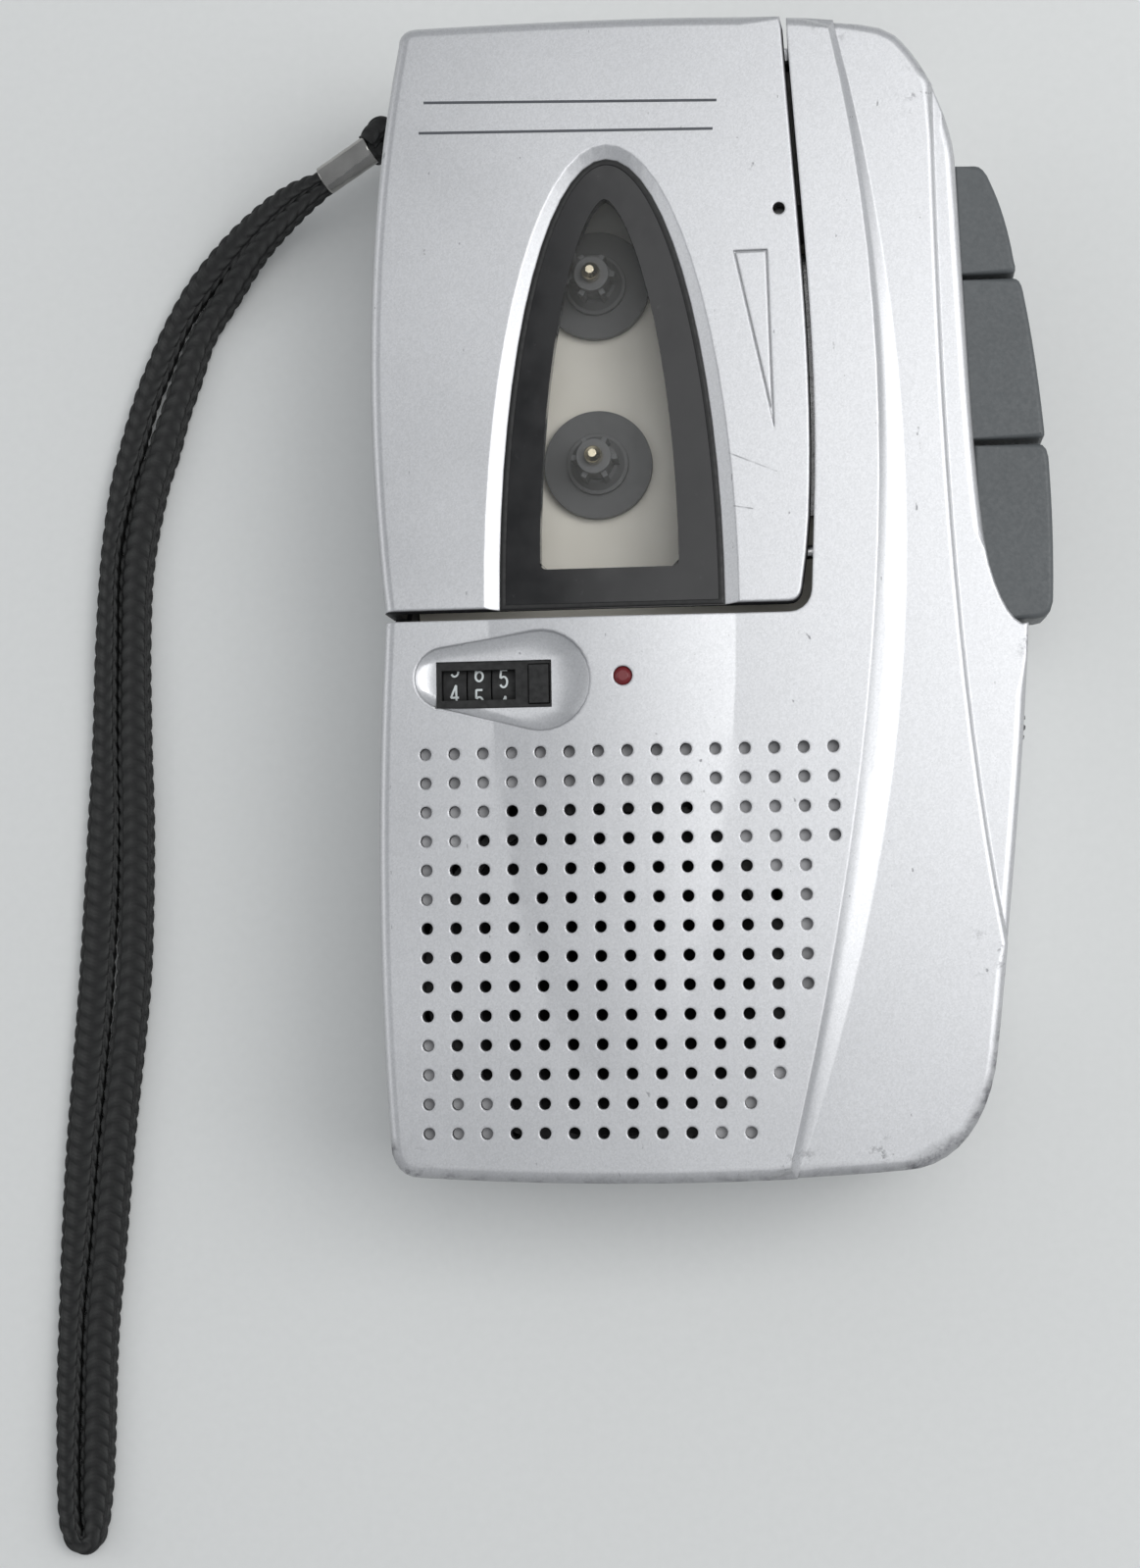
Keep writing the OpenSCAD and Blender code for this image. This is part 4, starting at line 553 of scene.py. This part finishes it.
def counter_bowl():
    """The counter's recess as a smooth bowl: between the counter's mask and the teardrop round two circles, both met
    by the same ray from the middle of the mask, z = floor + rise * t^2.6 with t from 0 at the mask to 1 at the rim.
    It stays a trace above the moulded recess, whose wall is a quarter wave as wide as its lip."""
    middle, half = np.array((-0.023275, -0.00935)), np.array((0.00622, 0.00255))
    rays, levels = 240, 17
    turn = np.linspace(0, 2 * np.pi, rays, endpoint=False)
    ray = np.stack([np.cos(turn), np.sin(turn)], 1)
    inner = (half / np.maximum(np.abs(ray), 1e-9)).min(1)
    share = np.linspace(0, 1, 161)[:, None]
    small_end, large_end, small_radius, growth = (-0.0284, -0.0086), (-0.0182, -0.0091), 0.0036, 0.002
    circles = (1 - share) * small_end + share * large_end
    sizes = small_radius + growth * share[:, 0]
    gap = (circles - middle) @ ray.T
    off = ((circles - middle) ** 2).sum(1)[:, None] - gap ** 2
    inset = 0.00003
    outer = (gap + np.sqrt(np.maximum(sizes[:, None] ** 2 - off, 0))).max(0) - inset
    t = np.linspace(0, 1, levels)
    out = inner + (outer - inner) * t[:, None]
    front, recess, lip, trace = 0.027, 0.0009, 0.0016, 0.000015
    depth = np.minimum((1 - t)[:, None] * (outer - inner), lip)
    cut = front - recess * np.cos(np.pi / 2 * (1 - depth / lip))
    floor, rise = 0.02612, 0.00086
    level = np.maximum(floor + rise * t[:, None] ** 2.6, cut + trace)
    points = np.concatenate([middle + out[..., None] * ray, level[..., None]], 2).reshape(-1, 3)
    new_piece("counter_bowl", "case", points, ring_faces(levels, rays), case_paint, smooth=True)


counter_bowl()
moulded("housing_screws", "case", worked_metal("zinc_screw", (0.55, 0.55, 0.53), 0.35))
red_lens = tough_plastic("red_lens", (0.16, 0.016, 0.02), 0.22, 0.1, 900, 0.05)
moulded("led_lens", "case", red_lens)

# Cassette door: a painted moulding with a deep skirt that swings on two steel pins at its lower edge. Two thin
# rules are pad printed across its top.
moulded("hinge_pins", "case", steel)
moulded("cassette_door", "door", case_paint, bare_plastic_and_shade, choose=inside_case_and_shaded_rim)
rule_print = tough_plastic("grey_print", (0.07, 0.075, 0.085), 0.5)


def printed_rule(name, left, right, width=0.0003, level=0.027012):
    """A thin flat strip between two points: a grid of 2 by 9 points on the panel's surface."""
    ends = np.linspace(left, right, 9)
    along = (np.array(right) - left) / np.linalg.norm(np.array(right) - left)
    side = np.array([-along[1], along[0]]) * width / 2
    rows = np.stack([ends - side, ends + side], 1).reshape(-1, 2)
    row = np.arange(8) * 2
    new_piece(name, "door", np.column_stack([rows, np.full(len(rows), level)]),
              np.stack([row, row + 2, row + 3, row + 1], 1).tolist(), rule_print)


printed_rule("upper_rule", (-0.03004, 0.05376), (0.00157, 0.05248))
printed_rule("lower_rule", (-0.03061, 0.05045), (0.0011, 0.04942))

# Window: a glossy black bezel snapped into the door's arch, and a clear styrene pane behind it, heat staked on
# its flange.
piano, tree, shader, where = bare_finish("bezel_gloss", (0.004, 0.004, 0.0045), 0.12)
dust = between(tree, speckle(tree, where, 1500, 4, 0.7), 0, 1, 0.62, 0.8)
tree.links.new(blended(tree, dust, (0.004, 0.004, 0.0045, 1), (0.025, 0.025, 0.026, 1)), shader.inputs["Base Color"])
tree.links.new(between(tree, speckle(tree, where, 320, 4), 0.08, 0.17, 0.3, 0.75), shader.inputs["Roughness"])
moulded("window_bezel", "door", piano)


def carried(name, rings, finish):
    """A closed tube on the door, from rings of points in millimetres."""
    new_piece(name, "door", rings.reshape(-1, 3) / 1000, ring_faces(*rings.shape[:2], closed=True), finish)


# The bezel's raised rim: a low profile carried round the half ellipse x = middle + half * cos a,
# y = foot + rise * sin a and back along its foot, set in from it along the normal and held above the foot line,
# which mitres the corners.
arch_middle, arch_half, arch_foot, arch_rise, bezel_top = -10.5, 11.98, -1.5, 48.38, 26.2
bend = np.radians(np.concatenate([np.linspace(0, 80, 41), np.linspace(80, 100, 41)[1:-1], np.linspace(100, 180, 41)]))
ellipse = np.stack([arch_middle + arch_half * np.cos(bend), arch_foot + arch_rise * np.sin(bend)], 1)
inward = -np.stack([arch_rise * np.cos(bend), arch_half * np.sin(bend)], 1)
inward /= np.linalg.norm(inward, axis=1)[:, None]
rim = []
for inset, height in ((0.08, -0.03), (0.12, 0.06), (0.3, 0.1), (0.58, 0.08), (0.66, -0.03)):
    arch = ellipse + inset * inward
    arch[:, 1] = np.maximum(arch[:, 1], arch_foot + inset)
    foot = np.stack([np.linspace(arch[-1, 0], arch[0, 0], 25)[1:-1], np.full(23, arch_foot + inset)], 1)
    line = np.concatenate([arch, foot])
    rim.append(np.column_stack([line, np.full(len(line), bezel_top + height)]))
carried("bezel_rim", np.stack(rim, 1), tough_plastic("rim_black", (0.008, 0.008, 0.008), 0.55, 0.15, 1600))

# Round lower corners of the window opening: each a web between the corner's two legs, sunk a little into the bezel,
# and an arc.
corner_radius, window_foot, sunk = 0.7, 2.8, 0.02
web_top, web_bottom = 26.195, 24.65
swing = np.radians(np.linspace(0, 90, 13))
legs_run = 2 * corner_radius * swing / swing[-1]
for name, side, edge in (("window_corner_left", 1, -18.1), ("window_corner_right", -1, -3.3)):
    bow = np.stack([edge + side * corner_radius * (1 - np.sin(swing)),
                    window_foot + corner_radius * (1 - np.cos(swing))], 1)
    leg = np.stack([edge + side * np.clip(corner_radius - legs_run, 0, None) - side * sunk,
                    window_foot - sunk + np.clip(legs_run - corner_radius, 0, None)], 1)
    web = [np.column_stack([line, np.full(len(swing), level)])
           for line, level in ((leg, web_top), (bow, web_top), (bow, web_bottom), (leg, web_bottom))]
    carried(name, np.stack(web, 1)[::-side], piano)
pane, tree, shader, where = bare_finish("clear_pane", (0.5, 0.5, 0.47), 0.06, Alpha=0.04)
haze = between(tree, speckle(tree, where, 420, 4), 0.04, 0.12, 0.35, 0.75)
tree.links.new(haze, shader.inputs["Roughness"])
moulded("window_lens", "door", pane)

# Side keys: three grey moulded keys standing out of the case wall, matt from a spark-eroded tool. Each slides in
# its opening against a spring.
key_grey = tough_plastic("key_grey", (0.088, 0.096, 0.1), 0.5, 0.06, 2600, 0.25)
for key, body in (("upper_key", "key_upper"), ("middle_key", "key_middle"), ("lower_key", "key_lower")):
    moulded(key, body, key_grey)

# Battery cover: moulded and painted like the rear housing, with five grip ribs. It closes the bay of the two cells
# and slides out toward the bottom end.
moulded("battery_cover", "cover", case_paint)

# Strap bar, cord loop and ferrule: a steel bar in a pocket of the left wall, a thin black cord round it, and a
# satin aluminium ferrule that is crimped over both ends of the cord and of the strap.
moulded("strap_bar", "case", steel)


def smooth_line(rows, count):
    """A Catmull-Rom curve through the rows, resampled to count points at equal steps of its length in space."""
    rows = np.asarray(rows, float)
    padded = np.vstack([2 * rows[0] - rows[1], rows, 2 * rows[-1] - rows[-2]])
    t = np.linspace(0, len(rows) - 1, 60 * len(rows))
    k = np.minimum(t.astype(int), len(rows) - 2)
    f = (t - k)[:, None]
    a, b, c, d = (padded[k + i] for i in range(4))
    fine = 0.5 * (2 * b + (c - a) * f + (2 * a - 5 * b + 4 * c - d) * f ** 2 + (3 * b - a - 3 * c + d) * f ** 3)
    run = np.concatenate([[0], np.cumsum(np.linalg.norm(np.diff(fine[:, :3], axis=0), axis=1))])
    even = np.linspace(0, run[-1], count)
    return np.stack([np.interp(even, run, column) for column in fine.T], 1), even


def braid(name, rows, count, around, columns, pitch, relief, finish):
    """A braided cord. Each row has a centre, a width and a thickness. The section is a superellipse; on it, the yarns
    stand up as ridges that lean one way in one column and the other way in the next, like a herringbone:
    rise = relief * sqrt|sin(pi * (s / pitch +- f / 2))| * sqrt(sin(pi * f)), with f the place across one column."""
    line, run = smooth_line(rows, count)
    centre, width, thick = line[:, :3], line[:, 3], line[:, 4]
    along = np.gradient(centre, axis=0)
    along /= np.linalg.norm(along, axis=1)[:, None]
    side = np.cross(along, (0, 0, 1))
    side /= np.linalg.norm(side, axis=1)[:, None]
    up = np.cross(side, along)
    turn = np.arange(around) * 2 * np.pi / around
    cosine, sine = np.cos(turn), np.sin(turn)
    squareness = 0.62
    across = np.sign(cosine) * np.abs(cosine) ** squareness
    rise = np.sign(sine) * np.abs(sine) ** squareness
    place = (turn / (2 * np.pi) * columns)[None, :]
    f = place % 1
    lean = np.where(place.astype(int) % 2 == 0, f, -f) / 2
    ridge = np.sqrt(np.abs(np.sin(np.pi * (run[:, None] / pitch + lean))))
    crown = np.sqrt(np.abs(np.sin(np.pi * f)))
    lift = relief * (ridge * crown - 1)
    x = (width[:, None] / 2 + lift) * across
    z = (thick[:, None] / 2 + lift) * rise
    rings = centre[:, None] + side[:, None] * x[..., None] + up[:, None] * z[..., None]
    points = np.concatenate([rings.reshape(-1, 3), centre[:1], centre[-1:]])
    k = np.arange(around)
    first = np.stack([np.full(around, count * around), k, (k + 1) % around], 1)
    last = np.stack([np.full(around, count * around + 1), (count - 1) * around + (k + 1) % around,
                     (count - 1) * around + k], 1)
    faces = ring_faces(count, around) + first.tolist() + last.tolist()
    piece = new_piece(name, "case", points, faces, finish, smooth=True)
    mesh = piece.data
    uv = mesh.uv_layers.new(name="along")
    corners = np.empty(len(mesh.loops), np.int32)
    mesh.loops.foreach_get("vertex_index", corners)
    at = np.minimum(corners, count * around - 1)
    uv.data.foreach_set("uv", np.stack([run[at // around], (at % around) / around], 1).astype(np.float32).ravel())
    return piece, centre, run[-1]


def braided_yarn(name, columns, pitch):
    """Black polyester yarn, with painted shade in the grooves of the herringbone, which follow the same rule as the
    mesh in the braid's own coordinates, and with its single threads as fine lines along each ridge."""
    groove_shade, ridge_top = (0.003, 0.0032, 0.003, 1), (0.016, 0.017, 0.016, 1)
    finish, tree, shader, where = bare_finish(name, ridge_top[:3], 0.6, Sheen_Weight=0.03, Sheen_Roughness=0.4)
    along, around, _ = shader_part(tree, "SeparateXYZ", {"Vector": shader_part(tree, "UVMap").outputs[0]}).outputs
    place = maths(tree, "MULTIPLY", around, columns)
    f = maths(tree, "FRACT", place)
    odd = maths(tree, "MODULO", maths(tree, "FLOOR", place), 2.0)
    lean = maths(tree, "MULTIPLY", f, between(tree, odd, 0.5, -0.5))
    row = maths(tree, "ADD", maths(tree, "DIVIDE", along, pitch), lean)
    ridge = maths(tree, "ABSOLUTE", maths(tree, "SINE", maths(tree, "MULTIPLY", row, math.pi)))
    crown = maths(tree, "SINE", maths(tree, "MULTIPLY", f, math.pi))
    height = maths(tree, "MULTIPLY", ridge, maths(tree, "SQRT", crown))
    thread = maths(tree, "ABSOLUTE", maths(tree, "SINE", maths(tree, "MULTIPLY", row, 4 * math.pi)))
    fluff = speckle(tree, where, 4200, 4, 0.7)
    tone = maths(tree, "MULTIPLY", between(tree, height, 0, 1, 0.35, 0.95), between(tree, fluff, 0.6, 1.2, 0.3, 0.75))
    # Painted shade: the colour goes to near black toward the bottom of each groove.
    tree.links.new(blended(tree, tone, groove_shade, ridge_top), shader.inputs["Base Color"])
    relief = maths(tree, "ADD", maths(tree, "MULTIPLY", thread, 0.4), fluff)
    tree.links.new(shader_part(tree, "Bump", {"Height": relief, "Strength": 0.5, "Distance": 0.00006}).outputs[0],
                   shader.inputs["Normal"])
    return finish


ferrule_from = np.array((-0.0389, 0.0542, 0.011))
ferrule_to = np.array((-0.0444, 0.0511, 0.010))
bar_at, bar_level, loop_radius = (-0.03235, 0.0546), 0.0086, 0.00175
turn = np.radians(np.linspace(100, -90, 9))
loop = np.column_stack([bar_at[0] + loop_radius * np.cos(turn), bar_at[1] + loop_radius * np.sin(turn),
                        np.full(len(turn), bar_level)])
loop = np.vstack([ferrule_from + (-0.0003, 0.0005, 0), (-0.0377, 0.0567, 0.0106), (-0.036, 0.0565, 0.0094), loop,
                  (-0.036, 0.0536, 0.0092), (-0.0377, 0.054, 0.0101), ferrule_from + (-0.0005, -0.0004, 0)])
loop_size = np.full((len(loop), 2), 0.0018)
loop_size[[0, 1, -2, -1]] = 0.0026
yarn_columns, cord_pitch = 8, 0.0014
cord_loop, _, _ = braid("cord_loop", np.column_stack([loop, loop_size]), 200, 40, yarn_columns, cord_pitch, 0.00016,
                        braided_yarn("cord_yarn", yarn_columns, cord_pitch))
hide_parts("strap_cord")


def crimped_tube(name, start, end, radius, finish):
    """A tube turned about the line from start to end: outer wall, rolled lips, bore. The radius dips a trace at two
    crimps: r = radius - dip * exp(-((s - s0) / width)^2)."""
    axis = end - start
    length = np.linalg.norm(axis)
    axis /= length
    side = np.cross(axis, (0, 0, 1))
    side /= np.linalg.norm(side)
    up = np.cross(side, axis)
    s = np.linspace(0, 1, 41)
    dip, crimp_width, wall_half, lip_reach, around = 0.00002, 0.06, 0.00015, 0.00012, 48
    wall = radius - dip * (np.exp(-((s - 0.3) / crimp_width) ** 2) + np.exp(-((s - 0.7) / crimp_width) ** 2))
    lip = np.linspace(0, np.pi, 7)[1:-1]
    profile = np.concatenate([
        np.stack([s * length, wall], 1),
        np.stack([length + lip_reach * np.sin(lip), radius - wall_half + wall_half * np.cos(lip)], 1),
        np.stack([length * (1 - s[::4]), np.full(11, radius - 2 * wall_half)], 1),
        np.stack([-lip_reach * np.sin(lip), radius - wall_half - wall_half * np.cos(lip)], 1)])
    turn = np.arange(around) * 2 * np.pi / around
    spin = np.cos(turn)[:, None] * side + np.sin(turn)[:, None] * up
    points = start + profile[:, None, :1] * axis + profile[:, None, 1:] * spin[None]
    return new_piece(name, "case", points.reshape(-1, 3), ring_faces(len(profile), around, closed=True), finish,
                     smooth=True)


ferrule = crimped_tube("crimped_ferrule", ferrule_from, ferrule_to, 0.0017,
                       worked_metal("satin_aluminium", (0.44, 0.43, 0.41), 0.14, (0.3, 0.3, 1)))
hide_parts("strap_ferrule")

# Wrist strap: one flat black braid, both ends crimped in the ferrule, so that it makes a loop. It falls from the
# ferrule to the table and lies there as two strands side by side, closed by a tight fold.
# Each row is a point of its line in millimetres, how much narrower and how much thicker the braid is there.
strap_width, strap_thick, strap_pitch = 4.3, 1.8, 0.0019
strap_rows = np.array([
    (-44.4, 51.6, 10, 2.8, 0), (-49.5, 50.1, 7.5, 1.8, 0), (-55.2, 47, 4.2, 1.2, 0), (-60.4, 42.4, 2, 0.9, 0),
    (-64, 37.6, 1.2, 1.2, 0), (-66.8, 31.6, 1, 1, 0), (-68.5, 27.2, 1, 1.1, 0), (-70, 22, 1.1, 1.1, 0.2),
    (-71.3, 17, 1.2, 1.4, 0.4), (-72.7, 9.4, 1.3, 1.9, 0.6), (-73.2, -1, 1.3, 1.5, 0.5),
    (-73.5, -13, 1.1, 1.1, 0.2), (-73.7, -21, 1, 0.4, 0), (-74, -29, 1, 0.1, 0), (-74.5, -38, 1, 0, 0),
    (-75.1, -46, 1, 0, 0), (-76.4, -60, 1, 0.3, 0), (-77.1, -70, 1, 0.6, 0.1), (-77.7, -79, 1.1, 1.2, 0.2),
    (-78, -88, 1.2, 1.3, 0.4), (-78.1, -97, 1.3, 1.6, 0.6), (-77.9, -103, 1.4, 1.7, 0.8),
    (-77.2, -105.6, 1.4, 1.9, 0.8), (-75.9, -106.2, 1.4, 1.9, 0.8), (-74.8, -105, 1.3, 1.5, 0.6),
    (-74.5, -101.5, 1.1, 0.5, 0.2), (-74.3, -95.5, 1, 0.1, 0), (-73.9, -82.5, 1, 0, 0), (-72.9, -71.5, 1, 0, 0),
    (-71.8, -59, 1, 0, 0), (-70.5, -47.5, 1, 0, 0), (-69.8, -40, 1, 0, 0), (-69.5, -31.5, 1, 0, 0),
    (-69.4, -22, 1, 0, 0), (-69.6, -13, 1, 0.1, 0), (-69.6, -1, 1, 0.3, 0), (-69.2, 8.5, 1, 0.1, 0),
    (-67.5, 17.3, 1, 0.1, 0), (-66.1, 22, 1, 0.2, 0), (-64.7, 26.4, 1, 0.6, 0), (-63.2, 30.6, 1, 0.6, 0),
    (-61.2, 35.6, 1.2, 1, 0), (-58.1, 39.9, 2, 1, 0), (-53.8, 44.8, 4.2, 1.2, 0), (-48.4, 48.4, 7.5, 1.8, 0),
    (-43.7, 50.6, 10, 2.8, 0)])
closer = 0.17
strap_rows[9:24, 0] += closer
strap_rows[25:38, 0] -= closer
strap_rows[:, 3] = strap_width - strap_rows[:, 3]
strap_rows[:, 4] += strap_thick
strap, strap_line, strap_length = braid("braided_strap", strap_rows / 1000, 2000, 48, yarn_columns, strap_pitch,
                                        0.0003, braided_yarn("strap_yarn", yarn_columns, strap_pitch))
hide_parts("wrist_strap")

# Table: a plain pale surface under the recorder, not part of it. It takes the shadows and gives the sides of the
# case their light from below.
cloth, tree, shader, where = bare_finish("pale_table", (0.71, 0.72, 0.71), 0.85)
tree.links.new(blended(tree, speckle(tree, where, 900, 3), (0.69, 0.7, 0.69, 1), (0.73, 0.74, 0.73, 1)),
               shader.inputs["Base Color"])
table_mesh = bpy.data.meshes.new("table")
table_mesh.from_pydata([(-3, -3, 0), (3, -3, 0), (3, 3, 0), (-3, 3, 0)], [], [(0, 1, 2, 3)])
table_mesh.materials.append(cloth)
table = bpy.data.objects.new("table", table_mesh)
bpy.context.scene.collection.objects.link(table)

# Light: a dim pale room, two soft panels overhead side by side, the left one dimmer than the right, a large soft
# window on the right and a weaker soft panel on the left.
room = bpy.data.worlds.new("room")
bpy.context.scene.world = room
room.use_nodes = True
room.node_tree.nodes["Background"].inputs["Color"].default_value = (0.93, 0.96, 1, 1)
room.node_tree.nodes["Background"].inputs["Strength"].default_value = 0.43
for name, place, aim, size, power in (("window", (0.5, 0.05, 0.5), (0, 0, 0), (0.5, 0.6), 1.5),
                                      ("left_fill", (-0.6, 0.08, 0.24), (0, 0, 0.01), (0.5, 0.34), 0.5),
                                      ("left_panel", (-0.015, 0.15, 0.75), (-0.015, 0.15, 0), (0.15, 0.46), 0.29),
                                      ("right_panel", (0.41, 0.15, 0.75), (0.41, 0.15, 0), (0.7, 0.46), 2.6)):
    lamp = bpy.data.lights.new(name, "AREA")
    lamp.shape = "RECTANGLE"
    lamp.size, lamp.size_y = size
    lamp.energy = power
    stand = bpy.data.objects.new(name, lamp)
    stand.location = place
    stand.visible_camera = False
    stand.rotation_euler = (Vector(aim) - Vector(place)).to_track_quat("-Z", "Y").to_euler()
    bpy.context.scene.collection.objects.link(stand)

# Camera: above the recorder and a little toward its lower end. Its place, turn and focal length are solved from the
# photograph.
lens = bpy.data.cameras.new("view")
lens.sensor_width = 36
lens.lens = 56.285
lens.clip_start = 0.01
eye = bpy.data.objects.new("view", lens)
spin = Vector((-0.057566468, -0.108019822, 0.0168229818))
eye.matrix_world = Matrix.Translation((0.012604, -0.035262, 0.28375)) @ Matrix.Rotation(
    spin.length, 4, spin.normalized()).inverted()
bpy.context.scene.collection.objects.link(eye)
bpy.context.scene.camera = eye
bpy.context.scene.view_settings.view_transform = "Standard"
